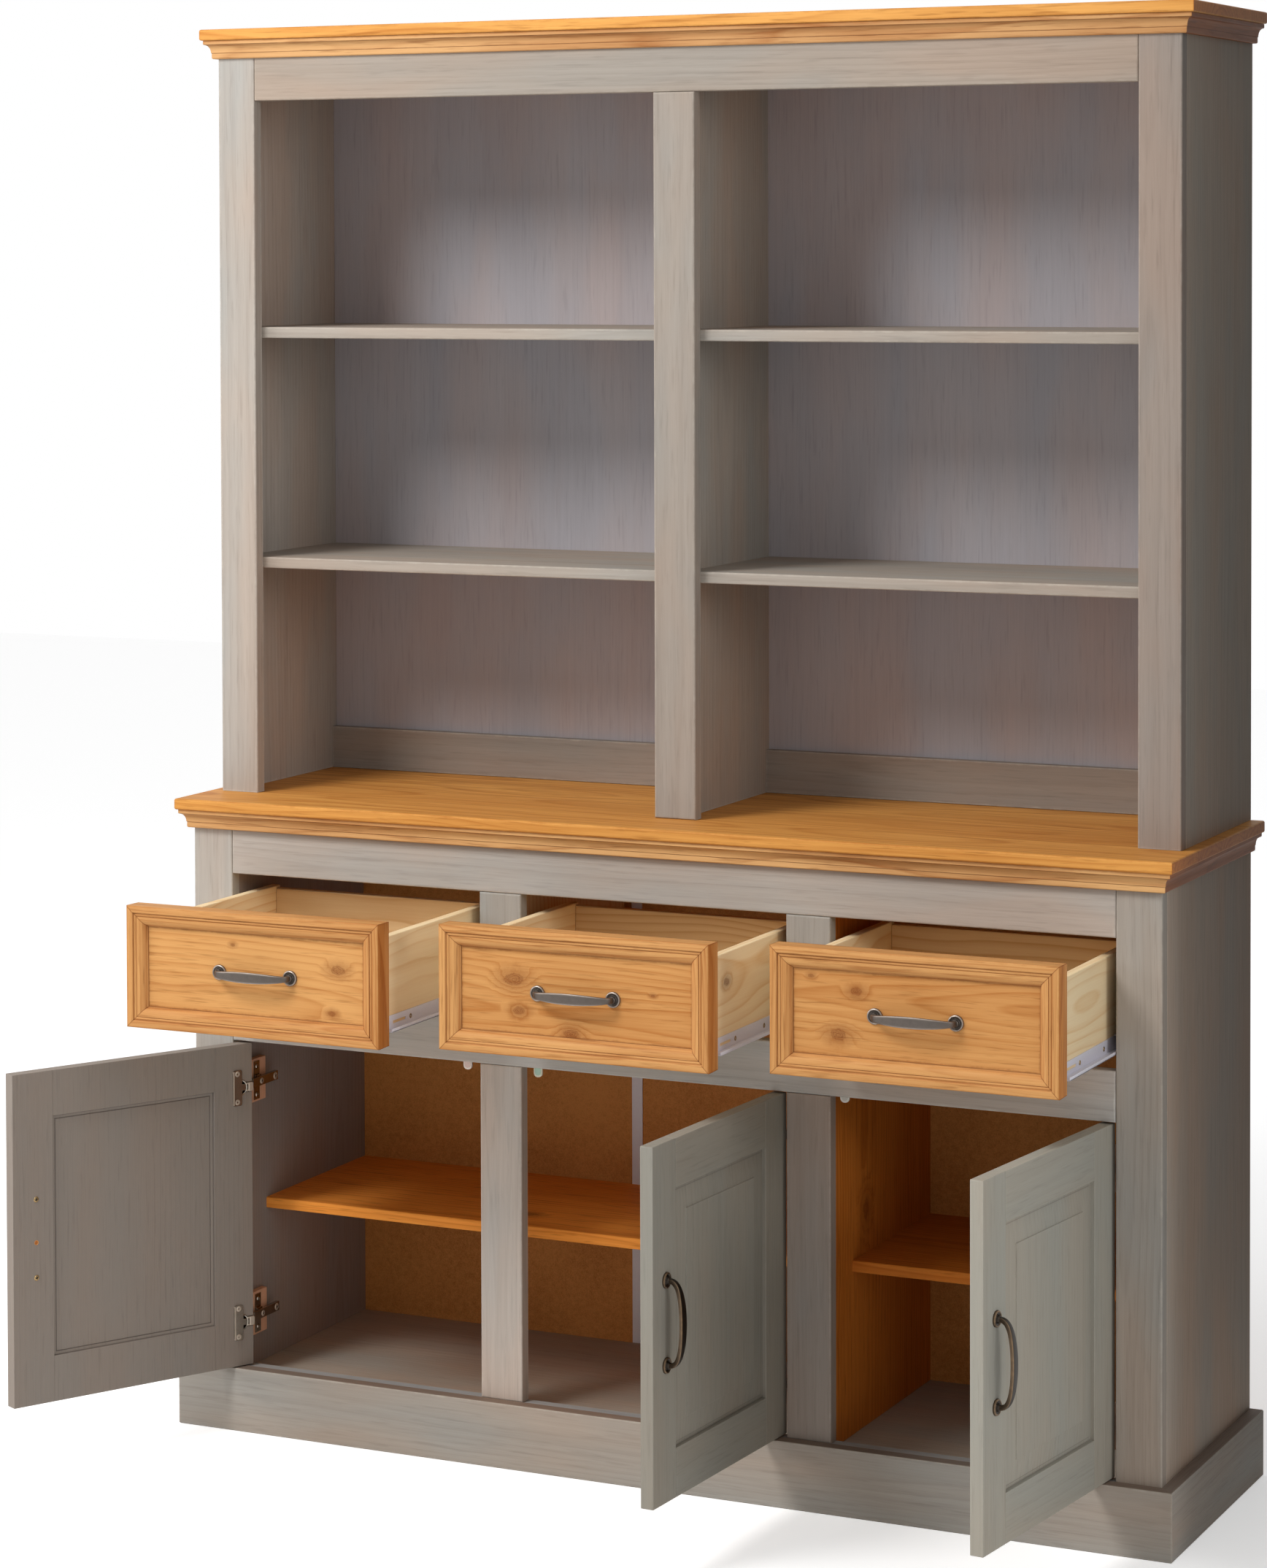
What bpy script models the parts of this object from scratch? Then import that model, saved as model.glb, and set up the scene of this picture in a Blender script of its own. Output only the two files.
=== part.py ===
# A pine buffet: a base with three drawers and three doors, and an open hutch standing on its worktop.
# Metres, +Z up, the front faces -Y. The origin is on the floor, in the middle of the plinth's front board.
# It is drawn as it stands in use: every drawer pulled out and every door open.

import math

import bmesh
import bpy
from mathutils import Matrix, Vector

# Clearance between pieces that touch in the real buffet.
GAP = 0.0003

# Overall sizes.
WIDTH = 1.300
DEPTH = 0.372
BOARD = 0.014
FRAME = 0.017
FRAME_EDGE = 0.002

# Plinth.
PLINTH_HEIGHT = 0.080
PLINTH_BOARD = 0.0167
PLINTH_EDGE = 0.002

# Base: heights from the floor up, and the widths of the face frame.
LEDGE_DROP = 0.001
BOTTOM_BOARD = 0.016
FLOOR_DROP = 0.0115
DOOR_OPENING_HEIGHT = 0.412
MID_RAIL_HEIGHT = 0.059
DRAWER_OPENING_HEIGHT = 0.152
TOP_RAIL_HEIGHT = 0.079
BASE_STILE_WIDTH = 0.055
POST_WIDTH = 0.056
BACK_BOARD = 0.003
BACK_INSET = 0.003
DIVIDER_SETBACK = 0.005

# Cupboard shelves.
SHELF_SETBACK = 0.065
WIDE_SHELF_HEIGHT = 0.275
NARROW_SHELF_HEIGHT = 0.278

# Worktop and the moulding under it.
WORKTOP = 0.014
WORKTOP_OVERHANG = 0.003
WORKTOP_EDGE = 0.002
MOULDING_HEIGHT = 0.023
MOULDING_STEP = 0.0035
MOULDING_INSET = 0.0115
MOULDING_HOLLOW = 0.0006
MOULDING_BEAD = 0.0010
MOULDING_FOOT = 0.0075
FASCIA_HEIGHT = 0.005

# Hutch.
HUTCH_SETBACK = 0.088
HUTCH_HEIGHT = 0.957
HUTCH_STILE_WIDTH = 0.052
CENTRE_STILE_WIDTH = 0.054
HUTCH_RAIL_HEIGHT = 0.077
HUTCH_BACK_INSET = 0.001
LOWER_SHELF_RISE = 0.300
UPPER_SHELF_RISE = 0.593
BACK_RAIL_HEIGHT = 0.055
BACK_RAIL = 0.0117
CROWN = 0.014
CROWN_OVERHANG = 0.018
CROWN_FRONT = 0.0165

# Drawers.
DRAWER_GAP = 0.0025
DRAWER_FRONT = 0.028
FIELD_DEPTH = 0.011
FRONT_BAND = 0.008
FRONT_MOULDING = 0.025
BOX_LENGTH = 0.310
BOX_WALL = 0.012
BOX_FLOOR = 0.004
BOX_RISE = 0.015
BOX_DROP = 0.014
RUNNER_HEIGHT = 0.017
RUNNER_SPACE = 0.0125
RUNNER_SHEET = 0.0015
RUNNER_PLAY = 0.0005
RAIL_HEIGHT = 0.040
RAIL_LENGTH = 0.310
DRAWER_PULLS = {"left": 0.259, "middle": 0.224, "right": 0.192}

# Doors.
DOOR_GAP = 0.0025
DOOR = 0.016
DOOR_EDGE = 0.0025
DOOR_MEMBER = 0.056
DOOR_GROOVE = 0.005
DOOR_GROOVE_WIDTH = 0.003
DOOR_BEVEL = 0.026
DOOR_RECESS = 0.0045
DOOR_RECESS_SLOPE = 0.005
DOOR_ANGLES = {"left": 117.8, "middle": 86.7, "right": 83.8}
DOOR_LIMITS = {"left": 120.0, "middle": 110.0, "right": 110.0}

# Hinges: where the axis lies behind the opening's edge and the front, and the arm that carries it.
AXIS_INSET = 0.010
AXIS_DEPTH = 0.005
HINGE_FROM_END = 0.055
KNUCKLE_RADIUS = 0.003
KNUCKLE_PLAY = 0.0004
ARM_HEIGHT = 0.012
ARM_SHEET = 0.002
ARM_LENGTH = 0.080
ARM_BODY = 0.008
BLOCK_HEIGHT = 0.055
BLOCK_LENGTH = 0.044
BLOCK_SETBACK = 0.006

# Bow handles.
HOLE_SPACING = 0.096
ROSETTE_RADIUS = 0.0093
ROSETTE_HEIGHT = 0.0032
BOSS_RADIUS = 0.0052
BOSS_HEIGHT = 0.0055
BOW_PROJECTION = 0.0215
BOW_WIDTH = 0.012
BOW_END_WIDTH = 0.0066
BOW_THICKNESS = 0.0042
BOW_END_THICKNESS = 0.0058
DOOR_HANDLE_INSET = 0.032

# Planes and levels worked out from the sizes above.
PLINTH_FRONT = -PLINTH_BOARD / 2
BASE_FRONT = PLINTH_FRONT + PLINTH_BOARD + GAP
FRAME_BACK = BASE_FRONT + FRAME
REAR = PLINTH_FRONT + DEPTH
BASE_HALF = WIDTH / 2 - PLINTH_BOARD - GAP
SIDE_INNER = BASE_HALF - BOARD
OPENING_HALF = BASE_HALF - BASE_STILE_WIDTH
OPENING_WIDTH = (2 * OPENING_HALF - 2 * POST_WIDTH) / 3
POST_CENTRE = OPENING_WIDTH / 2 + POST_WIDTH / 2
BASE_BACK_FRONT = REAR - BACK_INSET - BACK_BOARD

LEDGE = PLINTH_HEIGHT - LEDGE_DROP
FLOOR_TOP = LEDGE - FLOOR_DROP
DOOR_TOP = LEDGE + DOOR_OPENING_HEIGHT
DRAWER_BOTTOM = DOOR_TOP + MID_RAIL_HEIGHT
DRAWER_TOP = DRAWER_BOTTOM + DRAWER_OPENING_HEIGHT
BASE_TOP = DRAWER_TOP + TOP_RAIL_HEIGHT
WORKTOP_TOP = BASE_TOP + WORKTOP

HUTCH_FRONT = PLINTH_FRONT + HUTCH_SETBACK
HUTCH_FRAME_BACK = HUTCH_FRONT + FRAME
HUTCH_BOTTOM = WORKTOP_TOP + GAP
HUTCH_TOP = WORKTOP_TOP + HUTCH_HEIGHT
HUTCH_RAIL_BOTTOM = HUTCH_TOP - HUTCH_RAIL_HEIGHT
HUTCH_OPENING = BASE_HALF - HUTCH_STILE_WIDTH
HUTCH_BACK_FRONT = REAR - HUTCH_BACK_INSET - BACK_BOARD
CROWN_HALF = BASE_HALF + CROWN_OVERHANG
CROWN_EDGE = HUTCH_FRONT - CROWN_FRONT

DIVIDER_FACE = POST_CENTRE + POST_WIDTH / 2 - DIVIDER_SETBACK
DIVIDER_BACK_FACE = DIVIDER_FACE - BOARD

FRONT_WIDTH = OPENING_WIDTH - 2 * DRAWER_GAP
FRONT_HEIGHT = DRAWER_OPENING_HEIGHT - 2 * DRAWER_GAP
BOX_WIDTH = OPENING_WIDTH - 2 * (RUNNER_SPACE + RUNNER_PLAY)
RUNNER_BOTTOM = DRAWER_BOTTOM + DRAWER_GAP + BOX_RISE
RUNNER_BASE = RUNNER_BOTTOM - GAP - RUNNER_SHEET
DOOR_WIDTH = OPENING_WIDTH - 2 * DOOR_GAP
DOOR_HEIGHT = DOOR_OPENING_HEIGHT - 2 * DOOR_GAP

# The middle of each bay, and the side that its door hangs on: -1 left, 1 right.
BAYS = {"left": -2 * POST_CENTRE, "middle": 0.0, "right": 2 * POST_CENTRE}
HUNG_ON = {"left": -1, "middle": 1, "right": 1}


def finish(name, colour, roughness, metallic=0.0):
    """Return a plain Principled material."""
    material = bpy.data.materials.new(name)
    material.use_nodes = True
    shader = material.node_tree.nodes["Principled BSDF"]
    shader.inputs["Base Color"].default_value = (*colour, 1.0)
    shader.inputs["Roughness"].default_value = roughness
    shader.inputs["Metallic"].default_value = metallic
    return material


def place(name, mesh, material, parent=None):
    """Put a mesh in the scene as a named sub-part."""
    mesh.name = name
    mesh.materials.clear()
    mesh.materials.append(material)
    piece = bpy.data.objects.new(name, mesh)
    bpy.context.scene.collection.objects.link(piece)
    piece.parent = parent
    return piece


def mesh_from(shape):
    """Turn a bmesh into a mesh whose faces point out."""
    bmesh.ops.recalc_face_normals(shape, faces=shape.faces)
    mesh = bpy.data.meshes.new("shape")
    shape.to_mesh(mesh)
    shape.free()
    return mesh


def block(x, y, z):
    """Return a box as a bmesh, from (low, high) pairs along each axis."""
    shape = bmesh.new()
    centre = Vector(((x[0] + x[1]) / 2, (y[0] + y[1]) / 2, (z[0] + z[1]) / 2))
    size = Vector((x[1] - x[0], y[1] - y[0], z[1] - z[0]))
    matrix = Matrix.Translation(centre) @ Matrix.Diagonal((*size, 1.0))
    bmesh.ops.create_cube(shape, size=1.0, matrix=matrix)
    return shape


def round_edges(shape, radius, chosen, segments=3):
    """Round the edges that the test accepts, given each edge's middle and direction."""
    picked = []
    for edge in shape.edges:
        first, second = edge.verts
        middle = (first.co + second.co) / 2
        along = (second.co - first.co).normalized()
        if chosen(middle, along):
            picked.append(edge)
    bmesh.ops.bevel(shape, geom=picked, offset=radius, segments=segments, profile=0.5, affect="EDGES")


def board(name, x, y, z, material, rounded="", radius=FRAME_EDGE):
    """Make a board; its front edges that run along the named axes can be rounded."""
    shape = block(x, y, z)
    if rounded:
        axes = ["xyz".index(letter) for letter in rounded]
        middle_y = (y[0] + y[1]) / 2

        def front_edge(middle, along):
            return middle.y < middle_y - GAP and any(abs(along[axis]) > 0.5 for axis in axes)

        round_edges(shape, radius, front_edge)
    return place(name, mesh_from(shape), material)


def combined(base, tools, operation):
    """Return the base mesh after joining or cutting it with each tool mesh."""
    scene = bpy.context.scene
    body = bpy.data.objects.new("body", base)
    scene.collection.objects.link(body)
    helpers = []
    for tool in tools:
        helper = bpy.data.objects.new("helper", tool)
        scene.collection.objects.link(helper)
        step = body.modifiers.new("step", "BOOLEAN")
        step.operation = operation
        step.solver = "EXACT"
        step.object = helper
        helpers.append(helper)
    graph = bpy.context.evaluated_depsgraph_get()
    result = bpy.data.meshes.new_from_object(body.evaluated_get(graph))
    for helper in [body, *helpers]:
        bpy.data.objects.remove(helper)
    return result


def quarter_round(radius, segments=3):
    """Points (inset, depth) of a rounded arris, from the edge to the face."""
    points = []
    for step in range(segments + 1):
        angle = math.pi / 2 * step / segments
        points.append((radius * (1 - math.cos(angle)), radius * (1 - math.sin(angle))))
    return points


def panel(x, z, front, back, front_profile, back_profile):
    """Build a panel whose two faces step in towards the middle by (inset, depth) points."""
    shape = bmesh.new()

    def loop(inset, y):
        corners = [(x[0] + inset, z[0] + inset), (x[1] - inset, z[0] + inset)]
        corners += [(x[1] - inset, z[1] - inset), (x[0] + inset, z[1] - inset)]
        return [shape.verts.new((across, y, up)) for across, up in corners]

    loops = [loop(inset, back - depth) for inset, depth in reversed(back_profile)]
    loops += [loop(inset, front + depth) for inset, depth in front_profile]
    for lower, upper in zip(loops, loops[1:]):
        for corner in range(4):
            after = (corner + 1) % 4
            shape.faces.new((lower[corner], lower[after], upper[after], upper[corner]))
    shape.faces.new(loops[0])
    shape.faces.new(loops[-1])
    return mesh_from(shape)


def mitred_run(name, outline, half_width, front, inner_side, inner_front, material):
    """Run a moulding along both sides and the front, mitred at the two front corners.

    outline holds (inset, height) points of the outer face, from the top down. inner_side and
    inner_front are the insets of the face that lies against the carcass.
    """
    points = [(inset, inset, height) for inset, height in outline]
    points.append((inner_side, inner_front, outline[-1][1]))
    points.append((inner_side, inner_front, outline[0][1]))
    shape = bmesh.new()
    sections = []
    for side, at_rear in ((-1, True), (-1, False), (1, False), (1, True)):
        section = []
        for side_inset, front_inset, height in points:
            y = REAR if at_rear else front + front_inset
            section.append(shape.verts.new((side * (half_width - side_inset), y, height)))
        sections.append(section)
    for first, second in zip(sections, sections[1:]):
        for index in range(len(points)):
            after = (index + 1) % len(points)
            shape.faces.new((first[index], first[after], second[after], second[index]))
    shape.faces.new(sections[0])
    shape.faces.new(sections[-1])
    return place(name, mesh_from(shape), material)


def cornice(top):
    """Outline of the moulding under the worktop and under the crown: fascia, hollow slope and beaded foot."""
    bottom = top - MOULDING_HEIGHT
    slope_top = top - FASCIA_HEIGHT
    slope_bottom = bottom + MOULDING_FOOT
    points = [(MOULDING_STEP, top), (MOULDING_STEP, slope_top)]
    steps = 5
    for step in range(1, steps + 1):
        share = step / steps
        inset = MOULDING_STEP + (MOULDING_INSET - MOULDING_STEP) * share
        inset += MOULDING_HOLLOW * math.sin(math.pi * share)
        points.append((inset, slope_top + (slope_bottom - slope_top) * share))
    steps = 4
    for step in range(1, steps + 1):
        share = step / steps
        inset = MOULDING_INSET - MOULDING_BEAD * math.sin(math.pi * share)
        points.append((inset, slope_bottom - MOULDING_FOOT * share))
    return points


def make_plinth(grey):
    """The plinth wraps the foot of the base on three sides."""
    top = PLINTH_HEIGHT
    outline = [(PLINTH_EDGE, top), (PLINTH_EDGE / 3, top - PLINTH_EDGE / 3), (0, top - PLINTH_EDGE), (0, 0)]
    mitred_run("plinth", outline, WIDTH / 2, PLINTH_FRONT, PLINTH_BOARD, PLINTH_BOARD, grey)


def make_base_frame(grey):
    """Stiles, rails, posts and mullions of the base's face frame."""
    front = (BASE_FRONT, FRAME_BACK)
    for side, word in ((-1, "left"), (1, "right")):
        edges = sorted((side * OPENING_HALF, side * BASE_HALF))
        board("base_stile_" + word, edges, front, (0, BASE_TOP - GAP), grey, "z")
    across = (-OPENING_HALF + GAP, OPENING_HALF - GAP)
    board("base_bottom_rail", across, front, (0, LEDGE), grey, "x")
    board("base_mid_rail", across, front, (DOOR_TOP, DRAWER_BOTTOM), grey, "xz")
    board("base_top_rail", across, front, (DRAWER_TOP, BASE_TOP - GAP), grey, "xz")
    for side, word in ((-1, "left"), (1, "right")):
        middle = side * POST_CENTRE
        edges = (middle - POST_WIDTH / 2, middle + POST_WIDTH / 2)
        board("door_mullion_" + word, edges, front, (LEDGE + GAP, DOOR_TOP - GAP), grey, "xz")
        board("drawer_post_" + word, edges, front, (DRAWER_BOTTOM + GAP, DRAWER_TOP - GAP), grey, "xz")


def make_base_carcass(grey, honey, hardboard):
    """Side panels, bottom, back and shelves of the base."""
    behind_frame = FRAME_BACK + GAP
    before_back = BASE_BACK_FRONT - GAP
    for side, word in ((-1, "left"), (1, "right")):
        edges = sorted((side * SIDE_INNER, side * BASE_HALF))
        board("base_side_" + word, edges, (behind_frame, REAR), (0, BASE_TOP - GAP), grey)
    inside = (-SIDE_INNER + GAP, SIDE_INNER - GAP)
    floor_bottom = FLOOR_TOP - BOTTOM_BOARD
    board("bottom_board", inside, (behind_frame, before_back), (floor_bottom, FLOOR_TOP), grey)
    back = (BASE_BACK_FRONT, BASE_BACK_FRONT + BACK_BOARD)
    board("base_back", inside, back, (floor_bottom, BASE_TOP - GAP), hardboard)
    shelf_front = FRAME_BACK + SHELF_SETBACK
    wide = (-OPENING_HALF + GAP, DIVIDER_BACK_FACE - GAP)
    narrow = (DIVIDER_FACE + GAP, OPENING_HALF - GAP)
    for word, across, top in (("wide", wide, WIDE_SHELF_HEIGHT), ("narrow", narrow, NARROW_SHELF_HEIGHT)):
        board("shelf_" + word, across, (shelf_front, before_back), (top - BOARD, top), honey, "x", 0.002)


def runner_lips(opening_edge, toward):
    """Meshes of the two steel lips of a fixed runner, in which the drawer's member slides."""
    y = (BASE_FRONT + DRAWER_FRONT + RUNNER_PLAY, FRAME_BACK + GAP + RAIL_LENGTH)
    tip = opening_edge + toward * (RUNNER_SPACE - 2 * RUNNER_PLAY)
    root = opening_edge - toward * RUNNER_PLAY
    lips = []
    for height in (RUNNER_BASE, RUNNER_BOTTOM + RUNNER_HEIGHT + GAP):
        lips.append(mesh_from(block(sorted((root, tip)), y, (height, height + RUNNER_SHEET))))
    return lips


def batten(carrier_face, opening_edge):
    """Mesh of the batten that brings a fixed runner level with the drawer opening's edge."""
    y = (FRAME_BACK + GAP, FRAME_BACK + GAP + RAIL_LENGTH)
    return mesh_from(block(sorted((carrier_face, opening_edge)), y, (RUNNER_BASE, RUNNER_BASE + RAIL_HEIGHT)))


def make_dividers(grey, honey, pale):
    """The inner sides, the cupboard's divider and the drawer divider, with the fixed drawer runners."""
    y = (FRAME_BACK + GAP, BASE_BACK_FRONT - GAP)
    top = BASE_TOP - GAP
    for side, word in ((-1, "left"), (1, "right")):
        across = sorted((side * OPENING_HALF, side * (OPENING_HALF + BOARD)))
        upright = mesh_from(block(across, y, (FLOOR_TOP + GAP, top)))
        lips = runner_lips(side * OPENING_HALF, -side)
        place("base_inner_side_" + word, combined(upright, lips, "UNION"), grey)

    post_edges = [side * POST_CENTRE + end * POST_WIDTH / 2 for side in (-1, 1) for end in (-1, 1)]
    left_outer, left_inner, right_inner, right_outer = post_edges
    upright = mesh_from(block((-POST_CENTRE - BOARD / 2, -POST_CENTRE + BOARD / 2), y, (DRAWER_BOTTOM, top)))
    rails = [batten(left_outer, left_inner), *runner_lips(left_outer, -1), *runner_lips(left_inner, 1)]
    place("drawer_divider", combined(upright, rails, "UNION"), pale)

    upright = mesh_from(block((DIVIDER_BACK_FACE, DIVIDER_FACE), y, (FLOOR_TOP + GAP, top)))
    rails = [batten(DIVIDER_FACE - BOARD / 2, right_outer), *runner_lips(right_outer, 1)]
    place("base_divider", combined(upright, rails, "UNION"), honey)

    rail = batten(DIVIDER_BACK_FACE - GAP, right_inner)
    place("runner_rail", combined(rail, runner_lips(right_inner, -1), "UNION"), pale)


def make_worktop(honey):
    """The worktop and its moulding."""
    front = PLINTH_FRONT - WORKTOP_OVERHANG
    shape = block((-WIDTH / 2, WIDTH / 2), (front, REAR), (BASE_TOP, WORKTOP_TOP))

    def shown_edge(middle, along):
        return abs(along.z) < 0.5 and middle.y < REAR - GAP

    round_edges(shape, WORKTOP_EDGE, shown_edge, 2)
    place("worktop", mesh_from(shape), honey)
    inner_side = WIDTH / 2 - BASE_HALF - GAP
    inner_front = BASE_FRONT - front - GAP
    outline = cornice(BASE_TOP - GAP)
    mitred_run("worktop_moulding", outline, WIDTH / 2, front, inner_side, inner_front, honey)


def make_crown(honey):
    """The crown board and its moulding."""
    shape = block((-CROWN_HALF, CROWN_HALF), (CROWN_EDGE, REAR), (HUTCH_TOP, HUTCH_TOP + CROWN))

    def shown_edge(middle, along):
        return abs(along.z) < 0.5 and middle.y < REAR - GAP

    round_edges(shape, WORKTOP_EDGE, shown_edge, 2)
    place("crown_board", mesh_from(shape), honey)
    outline = cornice(HUTCH_TOP - GAP)
    inner_front = CROWN_FRONT - GAP
    mitred_run("crown_moulding", outline, CROWN_HALF, CROWN_EDGE, CROWN_OVERHANG - GAP, inner_front, honey)


def make_hutch(grey):
    """The open hutch: frame, sides, partition, back, rails and shelves."""
    front = (HUTCH_FRONT, HUTCH_FRAME_BACK)
    top = HUTCH_TOP - GAP
    behind_frame = HUTCH_FRAME_BACK + GAP
    before_back = HUTCH_BACK_FRONT - GAP
    for side, word in ((-1, "left"), (1, "right")):
        edges = sorted((side * HUTCH_OPENING, side * BASE_HALF))
        board("hutch_stile_" + word, edges, front, (HUTCH_BOTTOM, top), grey, "z")
        edges = sorted((side * SIDE_INNER, side * BASE_HALF))
        board("hutch_side_" + word, edges, (behind_frame, REAR), (HUTCH_BOTTOM, top), grey)
    across = (-HUTCH_OPENING + GAP, HUTCH_OPENING - GAP)
    board("hutch_top_rail", across, front, (HUTCH_RAIL_BOTTOM, top), grey, "xz")
    middle = (-CENTRE_STILE_WIDTH / 2, CENTRE_STILE_WIDTH / 2)
    board("hutch_stile_centre", middle, front, (HUTCH_BOTTOM, HUTCH_RAIL_BOTTOM - GAP), grey, "xz")
    partition = (-BOARD / 2, BOARD / 2)
    board("hutch_partition", partition, (behind_frame, before_back), (HUTCH_BOTTOM, top), grey)
    inside = (-SIDE_INNER + GAP, SIDE_INNER - GAP)
    back = (HUTCH_BACK_FRONT, HUTCH_BACK_FRONT + BACK_BOARD)
    board("hutch_back", inside, back, (HUTCH_BOTTOM, top), grey)
    rail = (before_back - BACK_RAIL, before_back)
    for side, word in ((-1, "left"), (1, "right")):
        across = sorted((side * (BOARD / 2 + GAP), side * (SIDE_INNER - GAP)))
        levels = (HUTCH_BOTTOM, WORKTOP_TOP + BACK_RAIL_HEIGHT)
        board("hutch_back_rail_" + word, across, rail, levels, grey, "x", 0.001)
        for level, rise in (("lower", LOWER_SHELF_RISE), ("upper", UPPER_SHELF_RISE)):
            shelf_top = WORKTOP_TOP + rise
            levels = (shelf_top - BOARD, shelf_top)
            name = "hutch_shelf_" + level + "_" + word
            board(name, across, (behind_frame, before_back), levels, grey, "x", 0.002)


def turned(profile, centre_x, sides=16):
    """Turn (radius, height) points about a line along -Y through centre_x."""
    shape = bmesh.new()
    rings = []
    for radius, height in profile:
        ring = []
        for side in range(sides):
            angle = 2 * math.pi * side / sides
            place_x = centre_x + radius * math.cos(angle)
            ring.append(shape.verts.new((place_x, -height, radius * math.sin(angle))))
        rings.append(ring)
    for lower, upper in zip(rings, rings[1:]):
        for side in range(sides):
            after = (side + 1) % sides
            shape.faces.new((lower[side], lower[after], upper[after], upper[side]))
    shape.faces.new(rings[0])
    shape.faces.new(rings[-1])
    return mesh_from(shape)


def bow_mesh():
    """The bow handle, lying along X and standing out along -Y from the face at y = 0."""
    shape = bmesh.new()
    stations = 16
    sides = 10
    half = HOLE_SPACING / 2
    centres = []
    for station in range(stations + 1):
        angle = math.radians(-84 + 168 * station / stations)
        rise = math.cos(angle) ** 0.55
        centres.append(Vector((half * math.sin(angle), -BOW_PROJECTION * rise, 0)))
    start = Vector((-half, -ROSETTE_HEIGHT / 2, 0))
    end = Vector((half, -ROSETTE_HEIGHT / 2, 0))
    centres = [start, *centres, end]
    rings = []
    for index, centre in enumerate(centres):
        before = centres[max(index - 1, 0)]
        after = centres[min(index + 1, len(centres) - 1)]
        along = (after - before).normalized()
        if index in (0, len(centres) - 1):
            along = Vector((0, -1 if index == 0 else 1, 0))
        out = Vector((-along.y, along.x, 0))
        middle = 1 - (abs(centre.x) / half) ** 2
        width = BOW_END_WIDTH + (BOW_WIDTH - BOW_END_WIDTH) * middle
        thickness = BOW_END_THICKNESS + (BOW_THICKNESS - BOW_END_THICKNESS) * middle
        ring = []
        for side in range(sides):
            turn = 2 * math.pi * side / sides
            offset = out * (thickness / 2 * math.cos(turn)) + Vector((0, 0, width / 2 * math.sin(turn)))
            ring.append(shape.verts.new(centre + offset))
        rings.append(ring)
    for first, second in zip(rings, rings[1:]):
        for side in range(sides):
            after = (side + 1) % sides
            shape.faces.new((first[side], first[after], second[after], second[side]))
    shape.faces.new(rings[0])
    shape.faces.new(rings[-1])
    rim = ROSETTE_HEIGHT * 0.6
    profile = [(ROSETTE_RADIUS, 0), (ROSETTE_RADIUS, rim), (ROSETTE_RADIUS * 0.88, ROSETTE_HEIGHT)]
    profile += [(BOSS_RADIUS, ROSETTE_HEIGHT), (BOSS_RADIUS * 0.9, BOSS_HEIGHT)]
    rosettes = [turned(profile, side * half) for side in (-1, 1)]
    return combined(mesh_from(shape), rosettes, "UNION")


def make_drawer(word, bow, honey, pale, pewter):
    """A drawer on its slide: moulded front, box with its runner members, and handle."""
    slide = bpy.data.objects.new("drawer_" + word + "_slide", None)
    bpy.context.scene.collection.objects.link(slide)
    slide.location = (BAYS[word], BASE_FRONT - DRAWER_PULLS[word], DRAWER_BOTTOM + DRAWER_GAP)

    ovolo = []
    steps = 4
    start = FRONT_BAND + 0.003
    reach = FRONT_MOULDING - 0.002 - start
    for step in range(steps + 1):
        angle = math.pi / 2 * step / steps
        ovolo.append((start + reach * math.sin(angle), 0.0006 + 0.0088 * (1 - math.cos(angle))))
    face = quarter_round(0.0015, 2)
    face += [(FRONT_BAND, 0), (FRONT_BAND + 0.0006, 0.0016), (FRONT_BAND + 0.0022, 0.0016)]
    face += ovolo
    face += [(FRONT_MOULDING, 0.0094), (FRONT_MOULDING, FIELD_DEPTH)]
    half = FRONT_WIDTH / 2
    rear_face = quarter_round(0.001, 1)
    mesh = panel((-half, half), (0, FRONT_HEIGHT), 0, DRAWER_FRONT, face, rear_face)
    place("drawer_" + word + "_front", mesh, honey, slide)

    box_top = FRONT_HEIGHT - BOX_DROP
    y = (DRAWER_FRONT + GAP, DRAWER_FRONT + GAP + BOX_LENGTH)
    outer = mesh_from(block((-BOX_WIDTH / 2, BOX_WIDTH / 2), y, (BOX_RISE, box_top)))
    inner_half = BOX_WIDTH / 2 - BOX_WALL
    hollow_y = (y[0] + BOX_WALL, y[1] - BOX_WALL)
    hollow = mesh_from(block((-inner_half, inner_half), hollow_y, (BOX_RISE + BOX_FLOOR, box_top + BOX_WALL)))
    tub = combined(outer, [hollow], "DIFFERENCE")
    members = []
    for side in (-1, 1):
        inner = side * (BOX_WIDTH / 2 - BOX_WALL / 2)
        tip = side * (BOX_WIDTH / 2 + RUNNER_SPACE)
        strip = block(sorted((inner, tip)), y, (BOX_RISE, BOX_RISE + RUNNER_HEIGHT))
        members.append(mesh_from(strip))
    place("drawer_" + word + "_box", combined(tub, members, "UNION"), pale, slide)

    handle = place("drawer_" + word + "_handle", bow.copy(), pewter, slide)
    handle.location = (0, FIELD_DEPTH - GAP, FRONT_HEIGHT / 2)


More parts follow.
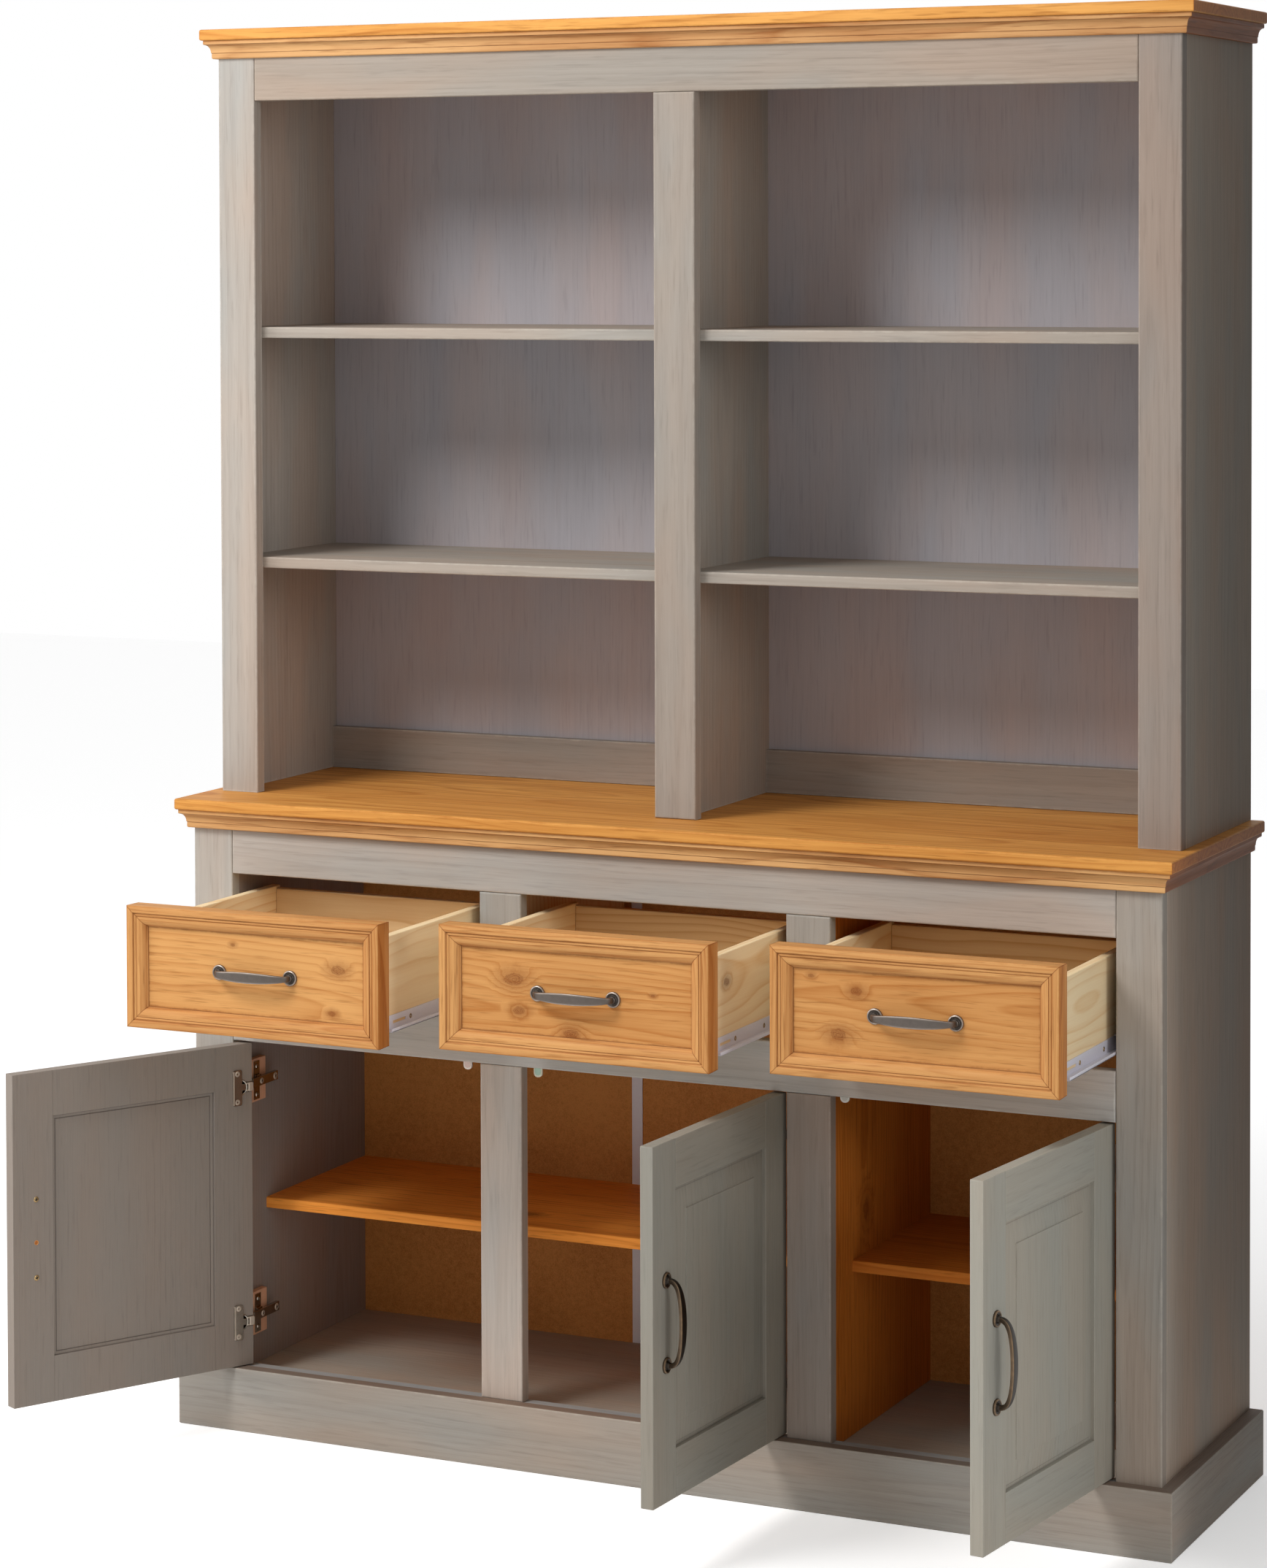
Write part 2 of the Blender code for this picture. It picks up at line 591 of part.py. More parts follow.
def hinge_pocket(hung, limit, middle_height):
    """The milled slot in the door's edge that lets the fixed arm pass as the door swings."""
    reach = KNUCKLE_RADIUS + KNUCKLE_PLAY
    edge = -(AXIS_INSET - DOOR_GAP) - 0.0015
    rear = DOOR - AXIS_DEPTH + 0.001
    lean = math.tan(math.radians(limit - 90))
    sweep = (ARM_SHEET / 2 + KNUCKLE_PLAY) / math.cos(math.radians(limit - 90))
    crossing = (sweep - reach) / lean
    outline = [(reach, rear), (reach, -reach), (crossing, -reach), (edge, lean * edge - sweep), (edge, rear)]
    half = ARM_HEIGHT / 2 + KNUCKLE_PLAY
    shape = bmesh.new()
    lower = [shape.verts.new((-hung * x, y, middle_height - half)) for x, y in outline]
    upper = [shape.verts.new((-hung * x, y, middle_height + half)) for x, y in outline]
    for index in range(len(outline)):
        after = (index + 1) % len(outline)
        shape.faces.new((lower[index], lower[after], upper[after], upper[index]))
    shape.faces.new(lower)
    shape.faces.new(upper)
    return mesh_from(shape)


def make_door(word, bow, grey, pewter):
    """A framed door on its hinge axis, with a raised panel outside and a plain one inside."""
    hung = HUNG_ON[word]
    edge_x = BAYS[word] + hung * OPENING_WIDTH / 2
    axis = bpy.data.objects.new("door_" + word + "_axis", None)
    bpy.context.scene.collection.objects.link(axis)
    axis.location = (edge_x - hung * AXIS_INSET, BASE_FRONT + AXIS_DEPTH, LEDGE + DOOR_GAP)
    axis.rotation_euler = (0, 0, hung * math.radians(DOOR_ANGLES[word]))

    hinge_edge = hung * (AXIS_INSET - DOOR_GAP)
    latch_edge = hinge_edge - hung * DOOR_WIDTH
    groove_end = DOOR_MEMBER + DOOR_GROOVE_WIDTH
    bevel_end = groove_end + DOOR_BEVEL
    outside = quarter_round(DOOR_EDGE)
    outside += [(DOOR_MEMBER - 0.0015, 0), (DOOR_MEMBER, 0.0015), (DOOR_MEMBER, DOOR_GROOVE)]
    outside += [(groove_end, DOOR_GROOVE), (bevel_end, 0.0022), (bevel_end, 0.0010)]
    inside = quarter_round(0.002, 2)
    slope_end = DOOR_MEMBER + DOOR_RECESS_SLOPE
    inside += [(DOOR_MEMBER, 0), (DOOR_MEMBER, DOOR_RECESS / 2), (slope_end, DOOR_RECESS)]
    across = sorted((hinge_edge, latch_edge))
    leaf = panel(across, (0, DOOR_HEIGHT), -AXIS_DEPTH, DOOR - AXIS_DEPTH, outside, inside)
    heights = (HINGE_FROM_END, DOOR_HEIGHT - HINGE_FROM_END)
    pockets = [hinge_pocket(hung, DOOR_LIMITS[word], height) for height in heights]
    place("door_" + word, combined(leaf, pockets, "DIFFERENCE"), grey, axis)

    handle = place("door_" + word + "_handle", bow.copy(), pewter, axis)
    handle.location = (latch_edge + hung * DOOR_HANDLE_INSET, -AXIS_DEPTH - GAP, DOOR_HEIGHT / 2)
    handle.rotation_euler = (0, math.pi / 2, 0)


def make_hinges(word, nickel):
    """The fixed halves of a door's two hinges, each with its spacer block and its arm."""
    hung = HUNG_ON[word]
    edge_x = BAYS[word] + hung * OPENING_WIDTH / 2
    axis_x = edge_x - hung * AXIS_INSET
    axis_y = BASE_FRONT + AXIS_DEPTH
    carrier = (DIVIDER_BACK_FACE if word == "middle" else edge_x) - hung * GAP
    blade_root = axis_x + hung * ARM_SHEET / 2
    block_front = FRAME_BACK + BLOCK_SETBACK
    for level, height in (("lower", HINGE_FROM_END), ("upper", DOOR_HEIGHT - HINGE_FROM_END)):
        z = LEDGE + DOOR_GAP + height
        block_z = (z - BLOCK_HEIGHT / 2, z + BLOCK_HEIGHT / 2)
        spacer = block(sorted((blade_root, carrier)), (block_front, block_front + BLOCK_LENGTH), block_z)
        arm_z = (z - ARM_HEIGHT / 2, z + ARM_HEIGHT / 2)
        arm_x = sorted((blade_root + hung * ARM_SHEET / 2, blade_root - hung * ARM_BODY))
        arm = block(arm_x, (block_front, axis_y + ARM_LENGTH), arm_z)
        blade_x = sorted((blade_root + hung * GAP, blade_root - hung * ARM_SHEET))
        blade = block(blade_x, (axis_y, block_front + BLOCK_LENGTH / 2), arm_z)
        knuckle = bmesh.new()
        matrix = Matrix.Translation((axis_x, axis_y, z))
        bmesh.ops.create_cone(knuckle, cap_ends=True, segments=16, radius1=KNUCKLE_RADIUS,
                              radius2=KNUCKLE_RADIUS, depth=ARM_HEIGHT, matrix=matrix)
        tools = [mesh_from(part) for part in (arm, blade, knuckle)]
        mesh = combined(mesh_from(spacer), tools, "UNION")
        place("hinge_" + word + "_" + level, mesh, nickel)


def main():
    """Build the buffet in an empty scene."""
    for item in list(bpy.data.objects):
        bpy.data.objects.remove(item)
    grey = finish("grey_wash", (0.33, 0.29, 0.25), 0.55)
    honey = finish("honey_pine", (0.66, 0.30, 0.09), 0.40)
    pale = finish("pale_pine", (0.78, 0.60, 0.34), 0.60)
    hardboard = finish("hardboard", (0.22, 0.09, 0.02), 0.70)
    pewter = finish("antique_pewter", (0.12, 0.11, 0.10), 0.40, 0.9)
    nickel = finish("nickel", (0.60, 0.58, 0.55), 0.30, 0.9)
    make_plinth(grey)
    make_base_frame(grey)
    make_base_carcass(grey, honey, hardboard)
    make_dividers(grey, honey, pale)
    make_worktop(honey)
    make_hutch(grey)
    make_crown(honey)
    bow = bow_mesh()
    for word in BAYS:
        make_drawer(word, bow, honey, pale, pewter)
        make_door(word, bow, grey, pewter)
        make_hinges(word, nickel)
    bpy.context.view_layer.update()


main()
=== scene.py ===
# Dresses the frame of a pine buffet with its boards, mouldings, handles, hinges and runners,
# and sets up a studio. Metres, +Z up, the front faces -Y.
# The origin is on the floor, in the middle of the plinth's front board.

import math

import bmesh
import bpy
from bpy.props import FloatProperty, FloatVectorProperty, PointerProperty
from mathutils import Matrix, Vector


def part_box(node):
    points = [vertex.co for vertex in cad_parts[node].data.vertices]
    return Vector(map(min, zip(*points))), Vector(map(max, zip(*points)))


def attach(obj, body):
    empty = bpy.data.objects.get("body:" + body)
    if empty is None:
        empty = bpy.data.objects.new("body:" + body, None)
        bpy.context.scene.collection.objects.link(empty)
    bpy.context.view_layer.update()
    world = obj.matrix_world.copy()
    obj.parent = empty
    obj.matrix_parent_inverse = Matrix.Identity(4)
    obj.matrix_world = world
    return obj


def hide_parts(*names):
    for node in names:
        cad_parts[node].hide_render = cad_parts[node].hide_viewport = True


bl_info = {
    "name": "Pine buffet",
    "version": (1, 0, 0),
    "blender": (4, 5, 0),
    "location": "3D View > Sidebar > Buffet",
    "description": "Dresses the frame of a pine buffet and sets up its studio",
    "category": "Object",
}

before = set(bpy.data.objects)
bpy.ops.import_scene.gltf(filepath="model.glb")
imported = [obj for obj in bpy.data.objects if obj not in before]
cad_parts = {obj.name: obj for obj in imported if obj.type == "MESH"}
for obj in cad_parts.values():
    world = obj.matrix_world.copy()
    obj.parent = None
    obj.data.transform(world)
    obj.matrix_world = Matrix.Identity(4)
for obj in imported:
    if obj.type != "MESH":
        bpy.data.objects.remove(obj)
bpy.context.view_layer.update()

# The side on which each door hangs, and how many degrees it stands open at rest.
DOORS = {
    "left": {"hung": -1, "angle": 117.8},
    "middle": {"hung": 1, "angle": 86.7},
    "right": {"hung": 1, "angle": 83.8},
}

# Middle of each bay of the base, and half the width of its opening.
BAYS = {"left": -0.404, "middle": 0.0, "right": 0.404}
OPENING_HALF = 0.174

# A door's axis: how far it stands inside the opening's edge, its depth, and the height of the door's foot.
AXIS_INSET = 0.010
AXIS_Y = 0.01365
DOOR_FOOT = 0.0815

# A door in its own coordinates, which start at the foot of its axis.
DOOR_FRONT = -0.005
DOOR_BACK = 0.011
DOOR_WIDTH = 0.343
DOOR_HEIGHT = 0.407
DOOR_MEMBER = 0.056

# How far a door's hung edge lies beyond the axis, and its hinges' height from the door's ends.
HUNG_EDGE = 0.0075
HINGE_HEIGHT = 0.055

# How far the middle of a hinge's cup lies from the door's axis.
CUP = 0.0105

# A door's handle: how far it lies from the free edge, and its height.
HANDLE_INSET = 0.032
HANDLE_HEIGHT = 0.2035

# Height on the left door of the spare hole between its handle's screws.
SPARE_HOLE = 0.1987

# Half the distance between a handle's two screws.
HANDLE_HALF = 0.048

# Width of the mouldings round a drawer's front, and how far the face and the back of the field inside them
# lie behind the front's face.
FRONT_MEMBER = 0.0250
FIELD_FACE = 0.011
FIELD_BACK = 0.027

# How far the face of a hinge's block stands beyond the door's axis.
BLOCK_FACE = 0.001

# Depth of a screw's head.
SCREW_DEPTH = 0.0012

# Gap that touching pieces keep.
TOUCH = 0.0003


def linear(code):
    """Turn a written colour such as 9a9089 into the linear values that shaders use."""
    values = [int(code[place:place + 2], 16) / 255 for place in (0, 2, 4)]
    return tuple(v / 12.92 if v <= 0.04045 else ((v + 0.055) / 1.055) ** 2.4 for v in values)


def shaded(tint, factor):
    """A colour times a factor."""
    return tuple(factor * value for value in tint[:3])


def colour(name, description, code):
    """A colour that a user can change."""
    return FloatVectorProperty(name=name, description=description, default=linear(code), subtype="COLOR",
                               min=0.0, max=1.0)


def length(name, description, default):
    """A length in metres that a user can change."""
    return FloatProperty(name=name, description=description, default=default, min=0.0, unit="LENGTH",
                         precision=4)


def power(name, description, default):
    """A lamp's power in watts that a user can change."""
    return FloatProperty(name=name, description=description, default=default, min=0.0, unit="POWER")


class BuffetColours(bpy.types.PropertyGroup):
    """Colours of the buffet's finishes."""
    grey_light: colour("Grey wash, light", "Washed grey between the growth rings", "b0a69b")
    grey_dark: colour("Grey wash, dark", "Washed grey in the growth rings", "8f8479")
    grey_edge: colour("Grey wash, worn edge", "Rubbed edges of the grey boards", "c4bbae")
    back_light: colour("Hutch back, light", "Lilac grey of the hutch's back", "b9b2b4")
    back_dark: colour("Hutch back, dark", "Streaks in the hutch's back", "9d9598")
    wall_light: colour("Cupboard wall, light", "Wall of the wide cupboard", "a2968e")
    wall_dark: colour("Cupboard wall, dark", "Streaks in the cupboard's wall", "877a73")
    honey_light: colour("Honey pine, light", "Lacquered pine between the rings", "d39c5f")
    honey_dark: colour("Honey pine, dark", "Lacquered pine in the rings", "a9662c")
    honey_knot: colour("Honey pine, knot", "Knots in the lacquered pine", "6d3212")
    amber_light: colour("Amber pine, light", "Worktop and mouldings between the rings", "e3a559")
    amber_dark: colour("Amber pine, dark", "Worktop and mouldings in the rings", "b06c2c")
    # Cupboard pine: the honey pine made warmer and more saturated, as painted warm bounce light inside the
    # cupboards.
    inner_light: colour("Cupboard pine, light", "Shelves and divider between the rings", "ea9a3e")
    inner_dark: colour("Cupboard pine, dark", "Shelves and divider in the rings", "b86216")
    pale_light: colour("Natural pine, light", "Untreated pine between the rings", "f6deb4")
    pale_dark: colour("Natural pine, dark", "Untreated pine in the rings", "dca866")
    board_light: colour("Hardboard, light", "Flecks in the cupboard's back", "d2904a")
    board_dark: colour("Hardboard, dark", "Fibres in the cupboard's back", "a56526")
    pewter: colour("Pewter", "Metal of the drawers' handles", "645c56")
    pewter_worn: colour("Pewter, worn", "Rubbed edges of the drawers' handles", "a89c92")
    nickel: colour("Nickel", "Metal of the hinges", "b0a89c")
    link: colour("Hinge link", "Bright link of the hinges", "cdbfae")
    block: colour("Hinge block", "Wood behind the hinges", "e0b090")
    brass: colour("Brass", "Screws", "b0956a")
    runner: colour("Runner", "Coated steel of the drawer runners", "e4e2ec")


class BuffetSizes(bpy.types.PropertyGroup):
    """Sizes of the buffet's small parts."""
    wear: length("Wear", "Width of the rubbed edges", 0.0022)
    strap_width: length("Handle width", "Widest part of the bow handles", 0.0132)
    strap_thickness: length("Handle thickness", "Thickness of the bow handles", 0.0042)
    rosette: length("Rosette radius", "Round foot of the handles", 0.0093)
    screw_head: length("Screw head", "Radius of the hinges' screw heads", 0.0036)
    strip_width: length("Joint strip", "Width of the strip that joins the two backs", 0.015)


class BuffetStudio(bpy.types.PropertyGroup):
    """Lamps and camera."""
    key_power: power("Key light", "Lamp high in front, to the left", 90.0)
    left_power: power("Left light", "Large lamp at the left", 36.0)
    right_power: power("Right light", "Weak lamp at the right", 28.0)
    room: FloatProperty(name="Room light", description="Even light of the studio", default=0.55, min=0.0)
    focal_length: FloatProperty(name="Focal length", description="Lens of the camera", default=116.86,
                                min=1.0, unit="CAMERA")


def colours():
    return bpy.context.scene.buffet_colours


def sizes():
    return bpy.context.scene.buffet_sizes


def new_material(name):
    material = bpy.data.materials.new(name)
    material.use_nodes = True
    return material


class Graph:
    """The nodes of a material or world, with short calls for those that it needs."""

    def __init__(self, owner):
        self.owner = owner
        self.tree = owner.node_tree
        self.shader = self.tree.nodes.get("Principled BSDF")

    def set(self, socket, value):
        """Link a socket, or give it a value."""
        if isinstance(value, bpy.types.NodeSocket):
            self.tree.links.new(value, socket)
        elif socket.type == "RGBA":
            socket.default_value = (*value[:3], 1.0)
        else:
            socket.default_value = value

    def add(self, kind, inputs=None, output=0, **settings):
        """Add a node and return one of its outputs."""
        node = self.tree.nodes.new("ShaderNode" + kind)
        for key, value in settings.items():
            setattr(node, key, value)
        for key, value in (inputs or {}).items():
            self.set(node.inputs[key], value)
        return node.outputs[output]

    def place(self):
        """Where a point lies in the coordinates of its object."""
        return self.add("TexCoord", output="Object")

    def base(self):
        """What the shader's colour is linked to so far."""
        return self.shader.inputs["Base Color"].links[0].from_socket

    def split(self, vector):
        """The three parts of a vector."""
        return self.add("SeparateXYZ", {0: vector}).node.outputs

    def math(self, operation, first, second=0.5, third=0.5, clamp=False):
        return self.add("Math", {0: first, 1: second, 2: third}, operation=operation, use_clamp=clamp)

    def vector(self, operation, first, second=(0.0, 0.0, 0.0)):
        output = "Value" if operation == "LENGTH" else "Vector"
        return self.add("VectorMath", {0: first, 1: second}, output, operation=operation)

    def apart(self, first, second):
        """Distance between two values."""
        return self.math("ABSOLUTE", self.math("SUBTRACT", first, second))

    def fade(self, value, start, end, first=1.0, last=0.0, **settings):
        """Go from one number to another while a value goes from start to end."""
        return self.add("MapRange", {0: value, 1: start, 2: end, 3: first, 4: last}, **settings)

    def vary(self, base, noise, amount):
        """Add a noise, less its middle value, times an amount."""
        return self.math("MULTIPLY_ADD", self.math("SUBTRACT", noise, 0.5), amount, base)

    def lines(self, value, levels, width, strength):
        """The strength where a value is at one of the levels, fading out over the width; it lays painted
        shade along grooves and edges.
        """
        joint_and_groove_shade = 0.0
        for level in levels:
            line = self.fade(self.apart(value, level), 0.0, width, strength)
            joint_and_groove_shade = self.math("MAXIMUM", joint_and_groove_shade, line)
        return joint_and_groove_shade

    def noise(self, place, scale, detail=2.0, roughness=0.5):
        inputs = {"Vector": place, "Scale": scale, "Detail": detail, "Roughness": roughness}
        return self.add("TexNoise", inputs)

    def drawn_noise(self, place, along, across, detail, roughness=0.5):
        """Noise that is drawn out along the grain."""
        return self.noise(self.vector("MULTIPLY", place, (along, across, across)), 1.0, detail, roughness)

    def ramp(self, factor, stops):
        """Colour ramp from (position, colour or grey value) stops."""
        node = self.tree.nodes.new("ShaderNodeValToRGB")
        elements = node.color_ramp.elements
        while len(elements) < len(stops):
            elements.new(1.0)
        for element, (position, value) in zip(elements, stops):
            element.position = position
            element.color = (value, value, value, 1.0) if isinstance(value, float) else (*value[:3], 1.0)
        self.set(node.inputs[0], factor)
        return node.outputs[0]

    def mix(self, factor, first, second, blend="MIX"):
        node = self.tree.nodes.new("ShaderNodeMix")
        node.data_type = "RGBA"
        node.blend_type = blend
        self.set(node.inputs[0], factor)
        self.set(node.inputs[6], first)
        self.set(node.inputs[7], second)
        return node.outputs[2]

    def bump(self, height, strength, distance):
        normal = self.add("Bump", {"Strength": strength, "Distance": distance, "Height": height})
        self.set(self.shader.inputs["Normal"], normal)

    def finish(self, **values):
        """Set the shader's own sockets and return the owner."""
        for key, value in values.items():
            self.set(self.shader.inputs[key.replace("_", " ").title().replace("Ior", "IOR")], value)
        return self.owner


def wood(name, tone, low, high, grain="x", seed=0.0, stave=0.0, knots=()):
    """Board material with growth rings, fibres, knots and rubbed edges.

    low and high are the board's corners in the coordinates of its object. knots holds (x, y, z, radius).
    Each board has a seed of its own, which gives it a grain unlike its neighbours'.
    """
    graph = Graph(new_material(name))
    place = graph.place()
    split = dict(zip("xyz", graph.split(place)))
    extent = {letter: high[index] - low[index] for index, letter in enumerate("xyz")}
    centre = {letter: (high[index] + low[index]) / 2 for index, letter in enumerate("xyz")}
    run, wide, thin = {"x": "xyz", "y": "yxz", "z": "zxy"}[grain]
    if extent[wide] < extent[thin]:
        wide, thin = thin, wide
    along = split[run]
    across = split[wide]
    through = split[thin]

    # The rings lie round a pith, beside the middle of the board or of each stave and behind its face.
    pith = math.sin(seed * 12.9) * 0.35
    depth = 0.025 + 0.03 * abs(math.sin(seed * 7.3))
    if stave:
        number = graph.math("FLOOR", graph.math("DIVIDE", across, stave))
        stave_shade = graph.add("TexWhiteNoise", {"W": graph.math("ADD", number, seed)},
                                noise_dimensions="1D")
        across = graph.math("SUBTRACT", across, graph.math("MULTIPLY", number, stave))
        across = graph.math("ADD", across, centre[wide] - stave / 2)
        along = graph.math("ADD", along, graph.math("MULTIPLY", stave_shade, 3.0))
        pith_across = centre[wide] + pith * 0.5 * stave
        depth += 0.02
    else:
        pith_across = centre[wide] + pith * extent[wide]
    local = graph.add("CombineXYZ", {0: along, 1: across, 2: through})
    moved = graph.vector("ADD", local, (seed * 1.37, seed * 0.71, seed * 0.53))
    side = graph.math("SUBTRACT", across, pith_across)
    deep = graph.math("SUBTRACT", through, centre[thin] - depth)
    radius = graph.vector("LENGTH", graph.add("CombineXYZ", {0: side, 1: deep}))
    radius = graph.vary(radius, graph.drawn_noise(moved, tone["sway_run"], 7.0, 1.5), tone["sway"])

    core = None
    for x, y, z, size in knots:
        spot = {"x": x, "y": y, "z": z}
        radius, dark = add_knot(graph, local, (spot[run], spot[wide], spot[thin]), size, radius)
        core = dark if core is None else graph.math("MAXIMUM", core, dark)

    rings = graph.math("FRACT", graph.math("DIVIDE", radius, tone["ring"]))
    late = graph.ramp(rings, [(0.0, 0.05), (0.35, 0.0), (0.72, 0.45), (0.9, 1.0), (0.99, 0.25)])
    faded = graph.ramp(graph.drawn_noise(moved, 1.1, 16.0, 2.0), [(0.3, 0.35), (0.62, 1.0)])
    late = graph.math("MULTIPLY", late, faded)
    fibre = graph.drawn_noise(moved, 14.0, 620.0, 2.0, 0.6)
    tinted = stain(graph, moved, late, fibre, tone)
    if stave:
        tinted = graph.mix(graph.math("MULTIPLY", stave_shade, 0.3), tinted, tone["dark"])
        seam = graph.math("FRACT", graph.math("DIVIDE", split[wide], stave))
        seam = graph.ramp(graph.apart(seam, 0.5), [(0.488, 0.0), (0.497, 0.35)])
        tinted = graph.mix(seam, tinted, tone["knot"])
    if core is not None:
        whorl = graph.math("MULTIPLY_ADD", graph.noise(moved, 420.0, 3.0), 0.5, 0.5)
        tinted = graph.mix(graph.math("MULTIPLY", core, whorl), tinted, tone["knot"])
    tinted = rub_edges(graph, place, moved, low, high, tone, tinted)

    height = graph.math("MULTIPLY_ADD", fibre, 0.6, graph.math("MULTIPLY", late, 0.5))
    graph.bump(height, tone["relief"], 0.0006)
    gloss = graph.vary(tone["roughness"], fibre, 0.18)
    return graph.finish(base_color=tinted, roughness=gloss, specular_ior_level=tone["gloss"])


def stain(graph, moved, late, fibre, tone):
    """Colour between a finish's light and its dark, with pores, and with cooler and warmer patches."""
    amount = graph.math("MULTIPLY", late, tone["contrast"])
    amount = graph.vary(amount, graph.drawn_noise(moved, 2.2, 85.0, 4.0, 0.72), tone["streak"])
    amount = graph.vary(amount, graph.drawn_noise(moved, 2.2, 9.0, 2.0), tone["cloud"])
    amount = graph.vary(amount, fibre, tone["fibre"])
    amount = graph.math("ADD", amount, tone["base"], clamp=True)
    tinted = graph.mix(amount, tone["light"], tone["dark"])
    if "pores" in tone:
        pores = graph.drawn_noise(moved, 17.0, 290.0, 2.0, 0.6)
        pores = graph.ramp(pores, [(0.56, 0.0), (0.70, tone["pores"])])
        tinted = graph.mix(pores, tinted, shaded(tone["dark"], 0.62))
    if "patch" in tone:
        patch = graph.drawn_noise(moved, 3.1, 12.0, 2.0)
        cool = graph.ramp(patch, [(0.50, 0.0), (0.64, tone["patch"])])
        tinted = graph.mix(cool, tinted, (0.86, 1.02, 1.14), "MULTIPLY")
        warm = graph.ramp(patch, [(0.36, tone["patch"]), (0.48, 0.0)])
        tinted = graph.mix(warm, tinted, (1.12, 0.97, 0.88), "MULTIPLY")
    return tinted


def add_knot(graph, local, centre, size, radius):
    """Lead the rings round a knot. Returns the rings' new radius and how dark the knot is."""
    offset = graph.vector("MULTIPLY", graph.vector("SUBTRACT", local, centre), (0.62, 1.0, 0.4))
    gap = graph.vary(graph.vector("LENGTH", offset), graph.noise(local, 150.0, 2.0), size * 0.9)
    pull = graph.fade(gap, 0.0, size * 4.2, interpolation_type="SMOOTHERSTEP")
    radius = graph.math("MULTIPLY_ADD", pull, size * 2.4, radius)
    year = graph.math("FRACT", graph.math("DIVIDE", gap, size * 0.34))
    year = graph.math("MULTIPLY_ADD", year, 0.4, 0.6)
    body = graph.math("MULTIPLY", graph.fade(gap, size * 0.9, size * 1.1), year)
    rim = graph.fade(graph.apart(gap, size * 1.02), 0.0, size * 0.16, 0.9)
    halo = graph.fade(gap, size, size * 3.2, 0.5)
    return radius, graph.math("MAXIMUM", graph.math("MAXIMUM", body, rim), halo)


def rub_edges(graph, place, moved, low, high, tone, tinted):
    """Show the worn colour along the edges of the board between two corners."""
    from_low = graph.vector("SUBTRACT", place, tuple(low))
    from_high = graph.vector("SUBTRACT", tuple(high), place)
    nearest = graph.split(graph.vector("MINIMUM", from_low, from_high))
    smaller = graph.math("MINIMUM", nearest[0], nearest[1])
    larger = graph.math("MAXIMUM", nearest[0], nearest[1])
    edge = graph.math("MAXIMUM", smaller, graph.math("MINIMUM", larger, nearest[2]))
    edge = graph.vary(edge, graph.noise(moved, 55.0, 3.0, 0.7), -0.006)
    worn = graph.fade(edge, 0.0, sizes().wear, tone["wear"])
    return graph.mix(worn, tinted, tone["edge"])


def shade_grooves(material, heights, width, strength, tint):
    """Darken a board's material along level lines, as painted shade in the grooves of a moulding."""
    graph = Graph(material)
    place = graph.place()
    joint_and_groove_shade = graph.lines(graph.split(place)[2], heights, width, strength)
    uneven = graph.ramp(graph.noise(place, 40.0, 3.0), [(0.35, 0.5), (0.6, 1.0)])
    graph.finish(base_color=graph.mix(graph.math("MULTIPLY", joint_and_groove_shade, uneven), graph.base(), tint))


def insets(graph, middle, half_x, half_z):
    """How far a point lies inside the upright edges and inside the level edges of a panel."""
    offset = graph.vector("ABSOLUTE", graph.vector("SUBTRACT", graph.place(), tuple(middle)))
    split = graph.split(offset)
    return graph.math("SUBTRACT", half_x, split[0]), graph.math("SUBTRACT", half_z, split[2])


def shade_panel_edges(material, low, high, levels, width, strength, tint):
    """Darken a material along rectangles that lie inside the panel between two corners, as painted shade
    along the panel's edges.
    """
    graph = Graph(material)
    inset_x, inset_z = insets(graph, (low + high) / 2, (high.x - low.x) / 2, (high.z - low.z) / 2)
    joint_and_groove_shade = graph.lines(graph.math("MINIMUM", inset_x, inset_z), levels, width, strength)
    graph.finish(base_color=graph.mix(joint_and_groove_shade, graph.base(), tint))


def shade_mitres(material, middle, half_x, half_z):
    """Draw the fine dark line of the mitres, and painted shade in the grooves of a drawer front's moulding
    and along its inner edge by the field.
    """
    graph = Graph(material)
    inset_x, inset_z = insets(graph, middle, half_x, half_z)
    mitre = graph.fade(graph.apart(inset_x, inset_z), 0.0003, 0.0009, 0.6)
    inset = graph.math("MULTIPLY", graph.math("MINIMUM", inset_x, inset_z), 40.0)
    # Painted shade: dark bands at the moulding's grooves and along its inner edge by the field.
    grooves = graph.ramp(inset, [
        (0.335, 0.0), (0.358, 0.25), (0.376, 0.1), (0.390, 0.0), (0.505, 0.0), (0.520, 0.4),
        (0.535, 0.05), (0.60, 0.0), (0.95, 0.0), (0.985, 0.2), (1.0, 0.35)])
    joint_and_groove_shade = graph.math("MAXIMUM", mitre, grooves)
    graph.finish(base_color=graph.mix(joint_and_groove_shade, graph.base(), colours().honey_knot))


def paint_face_shading(material, axis, level, factor):
    """Multiply the colour of the faces that lie at or beyond a level on an axis, as painted light and shade
    on one side of a piece.
    """
    graph = Graph(material)
    place = graph.split(graph.place())["XYZ".index(axis)]
    beyond = graph.fade(place, level - 0.0005, level - 0.0002, 0.0, 1.0)
    graph.finish(base_color=graph.mix(beyond, graph.base(), factor, "MULTIPLY"))


# A finish holds its colours; the width of a growth ring, how far and how often the rings sway; how much the
# rings, streaks, clouds, fibres, rubbed edges, patches and pores show; how dark it is; and its surface.

def grey_tone(**changes):
    """The washed grey finish: a thin paint through which the grain shows."""
    c = colours()
    return {
        "light": c.grey_light, "dark": c.grey_dark, "edge": c.grey_edge, "knot": c.grey_dark,
        "ring": 0.0065, "sway": 0.03, "sway_run": 1.4, "contrast": 0.22, "streak": 0.55, "cloud": 0.4,
        "fibre": 0.35, "base": 0.34, "wear": 0.4, "patch": 0.42, "pores": 0.2,
        "relief": 0.25, "roughness": 0.6, "gloss": 0.08, **changes,
    }


